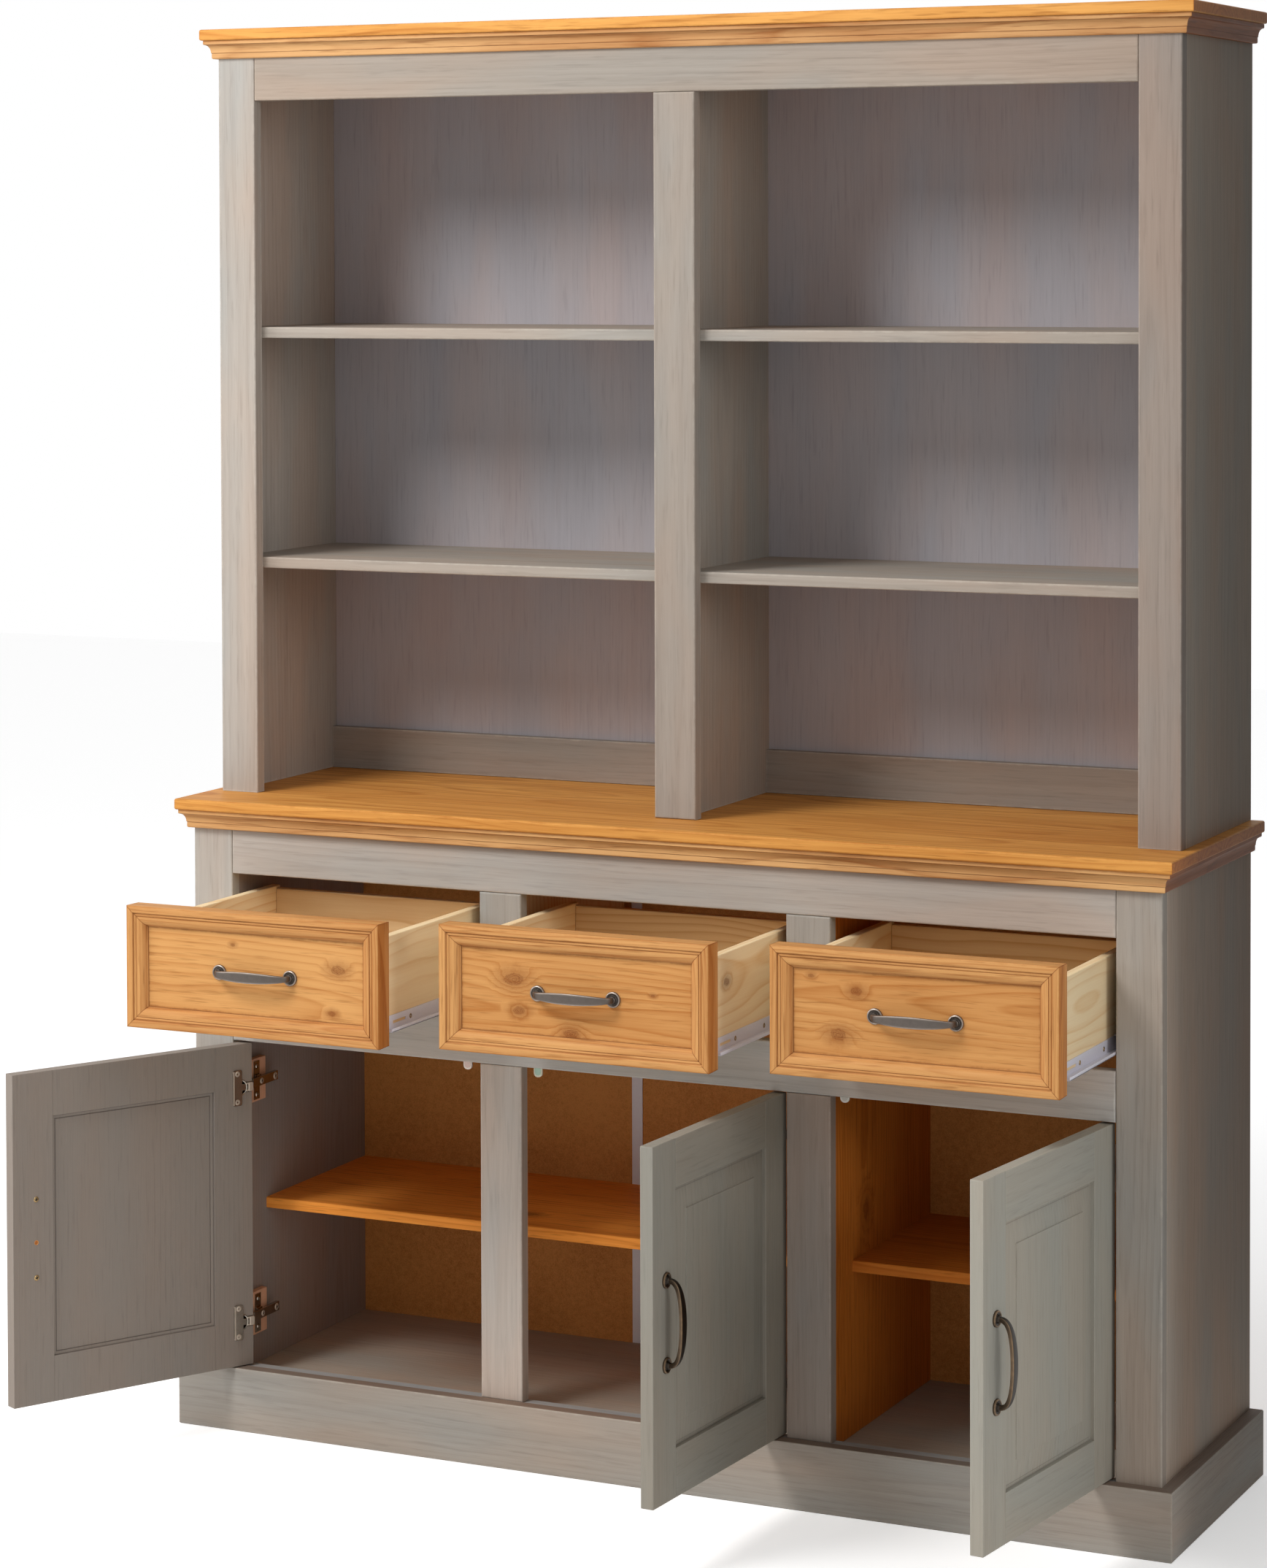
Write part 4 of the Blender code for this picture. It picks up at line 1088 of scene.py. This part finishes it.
def strap_mesh():
    """Bow handle along X, standing out along -Y from the face at y = 0, with wear values on its edges."""
    width = sizes().strap_width
    thickness = sizes().strap_thickness
    rosette = sizes().rosette
    reach = 0.0215
    end_width = 0.0064
    end_thickness = 0.0058
    squareness = 0.42
    stations = 44
    sides = 20
    centres = []
    for station in range(stations + 1):
        angle = math.radians(-84 + 168 * station / stations)
        centres.append(Vector((HANDLE_HALF * math.sin(angle), -reach * math.cos(angle) ** 0.55, 0)))
    centres = [Vector((-HANDLE_HALF, -0.0012, 0)), *centres, Vector((HANDLE_HALF, -0.0012, 0))]
    rows = []
    rubbed = []
    for index, centre in enumerate(centres):
        before = centres[max(index - 1, 0)]
        after = centres[min(index + 1, len(centres) - 1)]
        along = (after - before).normalized()
        if index in (0, len(centres) - 1):
            along = Vector((0, -1 if index == 0 else 1, 0))
        out = Vector((-along.y, along.x, 0))
        middle = max(0.0, 1 - abs(centre.x / HANDLE_HALF) ** 2)
        wide = end_width + (width - end_width) * middle
        thick = end_thickness + (thickness - end_thickness) * middle
        row = []
        for side in range(sides):
            turn = 2 * math.pi * side / sides
            c = math.cos(turn)
            s = math.sin(turn)
            offset = out * (thick / 2 * math.copysign(abs(c) ** squareness, c))
            offset += Vector((0, 0, wide / 2 * math.copysign(abs(s) ** squareness, s)))
            row.append(centre + offset)
            rubbed.append(max(0.0, 1 - abs(abs(s) - 0.8) * 3.5) * (0.45 + 0.55 * middle))
        rows.append(row)
    shape = skin(rows)
    wear = shape.verts.layers.float.new("wear")
    for vertex, value in zip(shape.verts, rubbed):
        vertex[wear] = value
    profile = [(rosette * share, height) for share, height in ROSETTE]
    for side in (-1, 1):
        foot = lathe_shape(profile, facing((side * HANDLE_HALF, 0, 0), (0, -1, 0)), 36)
        mesh = to_mesh(foot)
        values = mesh.attributes.new("wear", "FLOAT", "POINT")
        for vertex in mesh.vertices:
            radius = math.hypot(vertex.co.x - side * HANDLE_HALF, vertex.co.z) / rosette
            values.data[vertex.index].value = max(0.0, 1 - abs(radius - 0.9) * 7)
        shape.from_mesh(mesh)
        bpy.data.meshes.remove(mesh)
    return to_mesh(shape)


class BUFFET_OT_handles(bpy.types.Operator):
    """Put the bow handles on the drawers and the doors"""
    bl_idname = "buffet.handles"
    bl_label = "Build the handles"

    def execute(self, context):
        c = colours()
        pewter = shared(metal, "worn pewter", c.pewter, 0.42, c.pewter_worn, 0.85)
        bronze = shared(metal, "worn bronze", linear("332d27"), 0.36, linear("8e7458"), 0.85)
        for word in BAYS:
            low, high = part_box("drawer_" + word + "_front")
            place = Matrix.Translation(((low.x + high.x) / 2, low.y + FIELD_FACE, (low.z + high.z) / 2))
            self.handle("drawer_" + word, pewter, place)
            across = handle_x(DOORS[word]["hung"])
            place = door_matrix(word) @ Matrix.Translation((across, DOOR_FRONT, HANDLE_HEIGHT))
            self.handle("door_" + word, bronze, place @ Matrix.Rotation(math.pi / 2, 4, "Y"))
        return {"FINISHED"}

    def handle(self, body, material, place):
        node = body + "_handle"
        add_piece(node + "_bow", strap_mesh(), material, body, (node,), place)


def cut(mesh, tools):
    """Return the mesh with the tool shapes cut out."""
    body = new_object("body", mesh)
    helpers = []
    for tool in tools:
        helper = new_object("helper", to_mesh(tool))
        step = body.modifiers.new("step", "BOOLEAN")
        step.operation = "DIFFERENCE"
        step.solver = "EXACT"
        step.object = helper
        helpers.append(helper)
    graph = bpy.context.evaluated_depsgraph_get()
    result = bpy.data.meshes.new_from_object(body.evaluated_get(graph))
    for helper in [body, *helpers]:
        bpy.data.objects.remove(helper)
    return result


# The wash of each door, lighter or darker as painted light and shade for how the door stands to the lamps:
# its light and dark colour, and how much its rings and streaks show.
DOOR_LIT_WASHES = {
    "left": ("948b82", "81776f", 0.06, 0.18),
    "middle": ("9b968b", "817c72", 0.12, 0.35),
    "right": ("aca79b", "908b80", 0.12, 0.35),
}

# Section of a door's panel from the frame inwards: (inset, distance behind the door's front) of its raised
# outside, then (inset, distance before the door's back) of its flat inside.
PANEL_OUTSIDE = (
    (0.0, 0.0050), (0.003, 0.0050), (0.0034, 0.0049), (0.0275, 0.0026),
    (0.0287, 0.0022), (0.0291, 0.0012), (0.0296, 0.0010),
)
PANEL_INSIDE = (
    (0.0, 0.0003), (0.0003, 0.0006), (0.0006, 0.0026), (0.0040, 0.0034),
    (0.0043, 0.0042), (0.0050, 0.0042), (0.0053, 0.0036),
)

# The left door shows its inside, so one stain runs over all its boards, from one seed.
LEFT_DOOR_SEED = 151.0


class BUFFET_OT_doors(bpy.types.Operator):
    """Build the framed doors from stiles, rails and raised panels"""
    bl_idname = "buffet.doors"
    bl_label = "Build the doors"

    def execute(self, context):
        for number, word in enumerate(DOORS):
            # Each door's wash carries painted light and shade.
            light, dark, contrast, streak = DOOR_LIT_WASHES[word]
            wash = {"light": linear(light), "dark": linear(dark), "edge": linear(light),
                    "contrast": contrast, "streak": streak, "cloud": 0.2, "fibre": 0.22, "patch": 0.2}
            hung_edge = DOORS[word]["hung"] * HUNG_EDGE
            left, right = sorted((hung_edge, hung_edge - DOORS[word]["hung"] * DOOR_WIDTH))
            self.members(number, word, left, right, grey_tone(**wash))
            self.panel(number, word, left, right, grey_tone(**wash, wear=0.0))
        return {"FINISHED"}

    def members(self, number, word, left, right, tone):
        """The two stiles and the two rails."""
        node = "door_" + word
        hung = DOORS[word]["hung"]
        front, back, height, member = DOOR_FRONT, DOOR_BACK, DOOR_HEIGHT, DOOR_MEMBER
        rail = (left + member + 0.0001, right - member - 0.0001)
        parts = {
            "stile_left": ((left, front, 0.0), (left + member, back, height), "z"),
            "stile_right": ((right - member, front, 0.0), (right, back, height), "z"),
            "rail_bottom": ((rail[0], front, 0.0), (rail[1], back, member), "x"),
            "rail_top": ((rail[0], front, height - member), (rail[1], back, height), "x"),
        }
        hung_stile = "stile_left" if hung < 0 else "stile_right"
        for index, (part, (low, high, grain)) in enumerate(parts.items()):
            low = Vector(low)
            high = Vector(high)
            mesh = slab(low, high, 0.0003 if word == "left" else 0.0009)
            if part == hung_stile:
                mesh = cut(mesh, self.hinge_cuts(hung))
            elif word == "left" and part.startswith("stile"):
                hole = facing((handle_x(hung), back, SPARE_HOLE), (0, 1, 0))
                mesh = cut(mesh, [lathe_shape([(0.0030, -0.0052), (0.0030, 0.004)], hole, 24)])
            seed = 151.0 + 11.3 * number + 2.9 * index
            if word == "left":
                low = Vector((left, front, 0.0))
                high = Vector((right, back, height))
                grain = "z"
                seed = LEFT_DOOR_SEED
            material = wood(node + " " + part, tone, low, high, grain, seed)
            add_piece(node + "_" + part, mesh, material, node, (node,), door_matrix(word))

    def hinge_cuts(self, hung):
        """The slots in which the arms pass, and the bores for the cups."""
        tools = []
        for z in (HINGE_HEIGHT, DOOR_HEIGHT - HINGE_HEIGHT):
            tools.append(bar_shape((hung * 0.0095, -hung * 0.0035), (-0.0047, DOOR_BACK + 0.002),
                                   (z - 0.0066, z + 0.0066)))
            bore = [(0.0104, -0.0102), (0.0104, 0.004)]
            tools.append(lathe_shape(bore, facing((-hung * CUP, DOOR_BACK, z), (0, 1, 0)), 40))
        return tools

    def panel(self, number, word, left, right, tone):
        """The panel between the members, raised outside and flat inside."""
        node = "door_" + word
        low = Vector((left + DOOR_MEMBER, DOOR_FRONT, DOOR_MEMBER))
        high = Vector((right - DOOR_MEMBER, DOOR_BACK, DOOR_HEIGHT - DOOR_MEMBER))
        section = [(inset, DOOR_BACK - depth) for inset, depth in reversed(PANEL_INSIDE)]
        section += [(inset, DOOR_FRONT + depth) for inset, depth in PANEL_OUTSIDE]
        rows = []
        for inset, y in section:
            rows.append([(low.x + inset, y, low.z + inset), (high.x - inset, y, low.z + inset),
                         (high.x - inset, y, high.z - inset), (low.x + inset, y, high.z - inset)])
        mesh = to_mesh(skin(rows))
        seed = LEFT_DOOR_SEED if word == "left" else 177.0 + 13.7 * number
        material = wood(node + " panel", tone, low, high, "z", seed)
        # Painted shade along the panel's edge at the frame and along the step of its recess, stronger on the
        # left door.
        strength = 0.7 if word == "left" else 0.4
        shade_panel_edges(material, low, high, (0.0006, 0.0046), 0.0009, strength, linear("5b524c"))
        add_piece(node + "_panel", mesh, material, node, (node,), door_matrix(word))


# Front of the hinges' wooden blocks, their depth, and half their height.
BLOCK_FRONT = 0.03165
BLOCK_DEPTH = 0.044
BLOCK_HALF = 0.0275

# Heads of the screws that hold the hinges' arms: how far each lies behind the block's front, and its radius.
ARM_SCREWS = ((AXIS_Y - BLOCK_FRONT + 0.072, 0.0046), (0.019, 0.0038))


class BUFFET_OT_hinges(bpy.types.Operator):
    """Build the cup hinges, with their wooden blocks, plates, arms and screws"""
    bl_idname = "buffet.hinges"
    bl_label = "Build the hinges"

    def execute(self, context):
        # The screws' crosses are dark metal: painted shade that stands for their slots.
        dark = shared(metal, "screw shade", linear("4a4540"), 0.45)
        bright = shared(metal, "hinge link", colours().link, 0.4, metallic=0.4)
        for number, word in enumerate(DOORS):
            place = door_matrix(word)
            for index, level in enumerate(("lower", "upper")):
                node = "hinge_" + word + "_" + level
                low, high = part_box(node)
                z = (low.z + high.z) / 2
                self.block(node, word, low, high, z, 203.0 + 4.7 * number + 2.1 * index)
                self.arm(node, word, z, bright, dark)
                self.cup(node, word, z - DOOR_FOOT, place, bright)
            self.handle_screws(word, place, dark)
        return {"FINISHED"}

    def block(self, node, word, low, high, z, seed):
        """The wooden block that brings the hinge level with the opening's edge."""
        hung = DOORS[word]["hung"]
        face = axis_x(word) + hung * BLOCK_FACE
        start, end = sorted((face, high.x if hung > 0 else low.x))
        corner = Vector((start, BLOCK_FRONT, z - BLOCK_HALF))
        opposite = Vector((end, BLOCK_FRONT + BLOCK_DEPTH, z + BLOCK_HALF))
        tint = colours().block
        tone = pale_tone(light=tint, dark=shaded(tint, 0.6), edge=tint, contrast=0.3)
        material = wood(node + " block", tone, corner, opposite, "z", seed)
        mesh = slab(corner, opposite, 0.0012)
        add_piece(node + "_block", mesh, material, replaced=(node,))

    def arm(self, node, word, z, bright, dark):
        """Mounting plate, arm and screws on the block."""
        hung = DOORS[word]["hung"]
        axis = Vector((axis_x(word), AXIS_Y, z))
        face = axis.x + hung * BLOCK_FACE
        plate = (BLOCK_FRONT + 0.012, BLOCK_FRONT + 0.026)
        arm = (BLOCK_FRONT - 0.002, AXIS_Y + 0.079)
        # Each member: from where to where out from the block, in depth and up, and the rounding of its edges.
        members = {
            "plate": ((0.0, 0.0014), plate, (-0.0245, 0.0245), 0.0006),
            "boss": ((0.0014, 0.0044), (plate[0] + 0.001, plate[1] - 0.001), (-0.0075, 0.0075), 0.0008),
            "lower flank": ((0.0030, 0.0082), arm, (-0.0058, -0.0046), 0.0004),
            "upper flank": ((0.0030, 0.0082), arm, (0.0046, 0.0058), 0.0004),
            "web": ((0.0070, 0.0082), arm, (-0.0055, 0.0055), 0.0004),
            "shoulder": ((0.0010, 0.0072), (BLOCK_FRONT - 0.0048, BLOCK_FRONT + 0.004),
                         (-0.0052, 0.0052), 0.0008),
            "neck": ((0.0008, 0.0012), (AXIS_Y + 0.0004, BLOCK_FRONT + 0.002), (-0.0030, 0.0030), 0.0),
        }
        shapes = []
        for out, y, up, arris in members.values():
            x = (face - hung * out[0], face - hung * out[1])
            shapes.append(bar_shape(x, y, (z + up[0], z + up[1]), arris))
        shapes.append(lathe_shape([(0.0012, -0.0056), (0.0012, 0.0056)], Matrix.Translation(axis), 16))
        for up in (-0.018, 0.018):
            point = (face - hung * 0.0016, (plate[0] + plate[1]) / 2, z + up)
            shapes.append(screw_head(point, (-hung, 0, 0), sizes().screw_head))
        add_piece(node + "_arm", joined(shapes), nickel_metal(), replaced=(node,))
        spots = [((face - hung * 0.0084, BLOCK_FRONT + behind, z), radius) for behind, radius in ARM_SCREWS]
        add_screws(node + "_screws", node + "_screw_crosses", spots, (-hung, 0, 0), bright, dark)

    def cup(self, node, word, z, place, bright):
        """Cup, flange and link on the door, in the door's own coordinates."""
        body = "door_" + word
        hung = DOORS[word]["hung"]
        back = DOOR_BACK
        cup_x = -hung * CUP
        wall = [(0.0102, -0.0098), (0.0102, 0.0001), (0.0103, 0.0009), (0.0098, 0.0012), (0.0088, 0.0009),
                (0.0086, -0.0090), (0.0001, -0.0092)]
        plate, rim = self.flange(cup_x, z, hung)
        rod = bar_shape((-hung * 0.0090, -hung * 0.0016), (back - 0.0050, back + 0.0008),
                        (z - 0.0042, z + 0.0042), 0.0008)
        cup = [lathe_shape(wall, facing((cup_x, back, z), (0, 1, 0)), 40), plate, rod]
        # The rim takes the bright link metal as a painted highlight along the flange's far edge; the flange's
        # screws take the same metal.
        highlight_rim_and_screws = [rim]
        for up in (-0.0178, 0.0178):
            point = (cup_x - hung * 0.0042, back + 0.0014, z + up)
            highlight_rim_and_screws.append(screw_head(point, (0, 1, 0), sizes().screw_head, 0.0011))
        link = [bar_shape((hung * 0.0012, hung * 0.0085), (back - 0.0060, back + 0.0026),
                          (z - 0.0055, z + 0.0055), 0.0010)]
        for start, end in ((-0.0055, -0.0034), (0.0034, 0.0055)):
            link.append(bar_shape((-hung * 0.0020, hung * 0.0016), (back - 0.0060, back + 0.0018),
                                  (z + start, z + end), 0.0006))
        add_piece(node + "_cup", joined(cup), nickel_metal(), body, matrix=place)
        add_piece(node + "_link", joined(link), bright, body, matrix=place)
        add_piece(node + "_rim", joined(highlight_rim_and_screws), bright, body, matrix=place)

    def flange(self, cup_x, z, hung):
        """Stamped plate round the cup, with a raised rim along its far edge."""
        face = DOOR_BACK + 0.0002
        far = cup_x - hung * 0.0107
        start, end = sorted((far, cup_x + hung * 0.0025))
        plate = plate_shape((start, face, z - 0.0225), (end, DOOR_BACK + 0.0014, z + 0.0225), 0.0030)
        start, end = sorted((far, far + hung * 0.0014))
        rim = plate_shape((start, face, z - 0.0212), (end, DOOR_BACK + 0.0026, z + 0.0212), 0.0006)
        return plate, rim

    def handle_screws(self, word, place, dark):
        """The two screws of the door's handle, seen on the inside, and the left door's spare hole."""
        body = "door_" + word
        across = handle_x(DOORS[word]["hung"])
        radius = 0.0036
        spots = [((across, DOOR_BACK + 0.0002, HANDLE_HEIGHT + side * HANDLE_HALF), radius)
                 for side in (-1, 1)]
        add_screws(body + "_handle_screws", body + "_screw_crosses", spots, (0, 1, 0), brass_metal(), dark,
                   body, place)
        if word == "left":
            raw = shared(coated, "raw pine in a hole", linear("d8995a"), 0.6)
            cone = [(0.0030, -0.0051), (0.0030, 0.0002), (0.0026, 0.0002), (0.0014, -0.0030)]
            lining = lathe_shape(cone, facing((across, DOOR_BACK, SPARE_HOLE), (0, 1, 0)), 24)
            add_piece(body + "_spare_hole", joined([lining]), raw, body, matrix=place)


# Where the strip that joins the two halves of the cupboard's back stands.
STRIP_X = -0.1770

# The door stops: where each stands, how far it hangs below the middle rail, and its rim's and pad's colour.
STOPS = (
    (-0.256, 0.0130, "f2e7da", "e6c9bd"),
    (-0.160, 0.0145, "f2f0d8", "b9d8c2"),
    (0.241, 0.0100, "f0ece2", "dcd6ca"),
)


class BUFFET_OT_fittings(bpy.types.Operator):
    """Add the joint strip, door stops and shelf pins inside the cupboards"""
    bl_idname = "buffet.fittings"
    bl_label = "Build the cupboard fittings"

    def execute(self, context):
        self.strip()
        for number, (x, hang, rim, face) in enumerate(STOPS, 1):
            self.stop("door_stop_" + str(number), x, hang, rim, face)
        self.shelf_pins()
        return {"FINISHED"}

    def strip(self):
        white = shared(coated, "white plastic", linear("e9e7ec"), 0.4)
        low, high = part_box("base_back")
        half = sizes().strip_width / 2
        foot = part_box("bottom_board")[1].z + 0.0005
        strip = bar_shape((STRIP_X - half, STRIP_X + half), (low.y - 0.0016, low.y - 0.0002),
                          (foot, high.z - 0.010), 0.0004)
        add_piece("back_joint_strip", joined([strip]), white)

    def stop(self, name, x, hang, rim, face):
        """A milky tab behind the middle rail, with a pad on its front."""
        low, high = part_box("base_mid_rail")
        front = high.y + 0.0008
        foot = low.z - hang
        tab = plate_shape((x - 0.0056, front, foot), (x + 0.0056, front + 0.0028, low.z + 0.013), 0.005)
        pad = plate_shape((x - 0.0040, front - 0.0005, foot + 0.0022),
                          (x + 0.0040, front + 0.0002, low.z + 0.006), 0.0038)
        milky = shared(coated, "stop rim " + rim, linear(rim), 0.35)
        tinted = shared(coated, "stop face " + face, linear(face), 0.3)
        add_piece(name, joined([tab]), milky)
        add_piece(name + "_pad", joined([pad]), tinted)

    def shelf_pins(self):
        pins = []
        profile = [(0.0025, 0.0), (0.0025, 0.0085), (0.0021, 0.009)]
        for node in ("shelf_wide", "shelf_narrow"):
            low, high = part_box(node)
            for side, edge in ((-1, low.x), (1, high.x)):
                for y in (low.y + 0.035, high.y - 0.035):
                    pins.append(lathe_shape(profile, facing((edge, y, low.z - 0.0030), (-side, 0, 0)), 16))
        add_piece("shelf_pins", joined(pins), nickel_metal())


# The camera that fits the photo: its turn to the left, its tilt up and its roll in degrees, its place,
# and how far its picture is shifted, in widths of the picture.
CAMERA_TURN = (26.195, -1.798, -0.208)
CAMERA_PLACE = (2.0145, -4.46135, 1.4860)
CAMERA_SHIFT = (0.0968, -0.3202)


class BUFFET_OT_studio(bpy.types.Operator):
    """Set up the floor, the lamps, the world and the camera"""
    bl_idname = "buffet.studio"
    bl_label = "Set up the studio"

    def execute(self, context):
        self.floor()
        self.lamps()
        self.flag()
        self.world()
        self.camera()
        context.scene.view_settings.view_transform = "Standard"
        return {"FINISHED"}

    def floor(self):
        shape = bmesh.new()
        bmesh.ops.create_grid(shape, x_segments=1, y_segments=1, size=9.0)
        floor = new_object("studio_floor", to_mesh(shape))
        graph = Graph(new_material("pale floor"))
        graph.finish(base_color=(0.86, 0.86, 0.86), roughness=0.85)
        tree = graph.tree
        lift = graph.math("MULTIPLY", self.seen(graph), 0.45)
        glow = graph.add("Emission", {"Color": (1.0, 1.0, 1.0), "Strength": lift})
        both = graph.add("AddShader", {0: graph.shader.outputs[0], 1: glow})
        tree.links.new(both, tree.nodes["Material Output"].inputs["Surface"])
        floor.data.materials.append(graph.owner)

    def seen(self, graph):
        """1 where the camera, a mirror or glass sees the background."""
        path = graph.tree.nodes.new("ShaderNodeLightPath").outputs
        mirrored = graph.math("MAXIMUM", path["Is Glossy Ray"], path["Is Transmission Ray"])
        return graph.math("MAXIMUM", path["Is Camera Ray"], mirrored)

    def lamps(self):
        studio = bpy.context.scene.buffet_studio
        # Each lamp: its place, what it looks at, its width and its power.
        lamps = {
            "key": ((-1.5, -2.4, 3.4), (0.0, 0.2, 1.0), 1.4, studio.key_power),
            "left": ((-3.4, -1.8, 1.8), (0.0, 0.0, 0.9), 1.6, studio.left_power),
            "right": ((4.0, -1.4, 2.0), (0.2, 0.0, 0.9), 1.4, studio.right_power),
        }
        for name, (place, aim, size, watts) in lamps.items():
            light = bpy.data.lights.new("studio_" + name, "AREA")
            light.shape = "DISK"
            light.size = size
            light.energy = watts
            lamp = new_object("studio_" + name, light)
            lamp.location = place
            lamp.rotation_euler = (Vector(aim) - Vector(place)).to_track_quat("-Z", "Y").to_euler()

    def flag(self):
        """Black card beside the buffet that keeps the side light off its right side; no camera sees it."""
        card = new_object("studio_flag", slab((0.86, -0.06, 0.06), (0.87, 1.6, 2.3)))
        graph = Graph(new_material("black card"))
        card.data.materials.append(graph.finish(base_color=(0.01, 0.01, 0.01), roughness=0.9))
        card.visible_camera = False
        card.visible_glossy = False
        card.visible_transmission = False

    def world(self):
        """Even room light on the buffet, and plain white where the camera or a mirror sees the room."""
        world = bpy.data.worlds.new("studio")
        world.use_nodes = True
        bpy.context.scene.world = world
        graph = Graph(world)
        room = world.node_tree.nodes["Background"]
        graph.set(room.inputs["Color"], (1.0, 1.0, 1.0))
        graph.set(room.inputs["Strength"], bpy.context.scene.buffet_studio.room)
        white = graph.add("Background", {"Color": (1.0, 1.0, 1.0), "Strength": 1.0})
        blend = graph.add("MixShader", {0: self.seen(graph), 1: room.outputs[0], 2: white})
        graph.set(world.node_tree.nodes["World Output"].inputs["Surface"], blend)

    def camera(self):
        """The camera that was fitted to the buffet's corners in the photo."""
        yaw, pitch, roll = (math.radians(angle) for angle in CAMERA_TURN)
        across = Vector((math.cos(yaw), math.sin(yaw), 0.0))
        ahead = Vector((-math.sin(yaw), math.cos(yaw), 0.0))
        upward = Vector((0.0, 0.0, 1.0))
        forward = math.cos(pitch) * ahead + math.sin(pitch) * upward
        level = -math.sin(pitch) * ahead + math.cos(pitch) * upward
        right = math.cos(roll) * across + math.sin(roll) * level
        up = -math.sin(roll) * across + math.cos(roll) * level
        data = bpy.data.cameras.new("camera")
        data.sensor_fit = "HORIZONTAL"
        data.sensor_width = 36.0
        data.lens = bpy.context.scene.buffet_studio.focal_length
        data.shift_x, data.shift_y = CAMERA_SHIFT
        data.clip_end = 50.0
        camera = new_object("camera", data)
        turn = Matrix((right, up, -forward)).transposed().to_4x4()
        camera.matrix_world = Matrix.Translation(CAMERA_PLACE) @ turn
        bpy.context.scene.camera = camera


OPERATORS = (
    BUFFET_OT_boards, BUFFET_OT_mouldings, BUFFET_OT_plinth, BUFFET_OT_drawer_fronts, BUFFET_OT_drawer_boxes,
    BUFFET_OT_handles, BUFFET_OT_doors, BUFFET_OT_hinges, BUFFET_OT_fittings, BUFFET_OT_studio,
)


class BUFFET_PT_panel(bpy.types.Panel):
    """Lists the settings and the steps that build the buffet"""
    bl_idname = "BUFFET_PT_panel"
    bl_label = "Pine buffet"
    bl_space_type = "VIEW_3D"
    bl_region_type = "UI"
    bl_category = "Buffet"

    def draw(self, context):
        layout = self.layout
        scene = context.scene
        for operator in OPERATORS:
            layout.operator(operator.bl_idname)
        for settings in (scene.buffet_sizes, scene.buffet_colours, scene.buffet_studio):
            box = layout.box()
            for name in settings.__annotations__:
                box.prop(settings, name)


CLASSES = (BuffetColours, BuffetSizes, BuffetStudio, *OPERATORS, BUFFET_PT_panel)


def register():
    for item in CLASSES:
        bpy.utils.register_class(item)
    bpy.types.Scene.buffet_colours = PointerProperty(type=BuffetColours)
    bpy.types.Scene.buffet_sizes = PointerProperty(type=BuffetSizes)
    bpy.types.Scene.buffet_studio = PointerProperty(type=BuffetStudio)


def unregister():
    del bpy.types.Scene.buffet_studio
    del bpy.types.Scene.buffet_sizes
    del bpy.types.Scene.buffet_colours
    for item in reversed(CLASSES):
        bpy.utils.unregister_class(item)


def main():
    """Build every piece."""
    register()
    for operator in OPERATORS:
        group, name = operator.bl_idname.split(".")
        getattr(getattr(bpy.ops, group), name)()


if __name__ == "__main__":
    main()
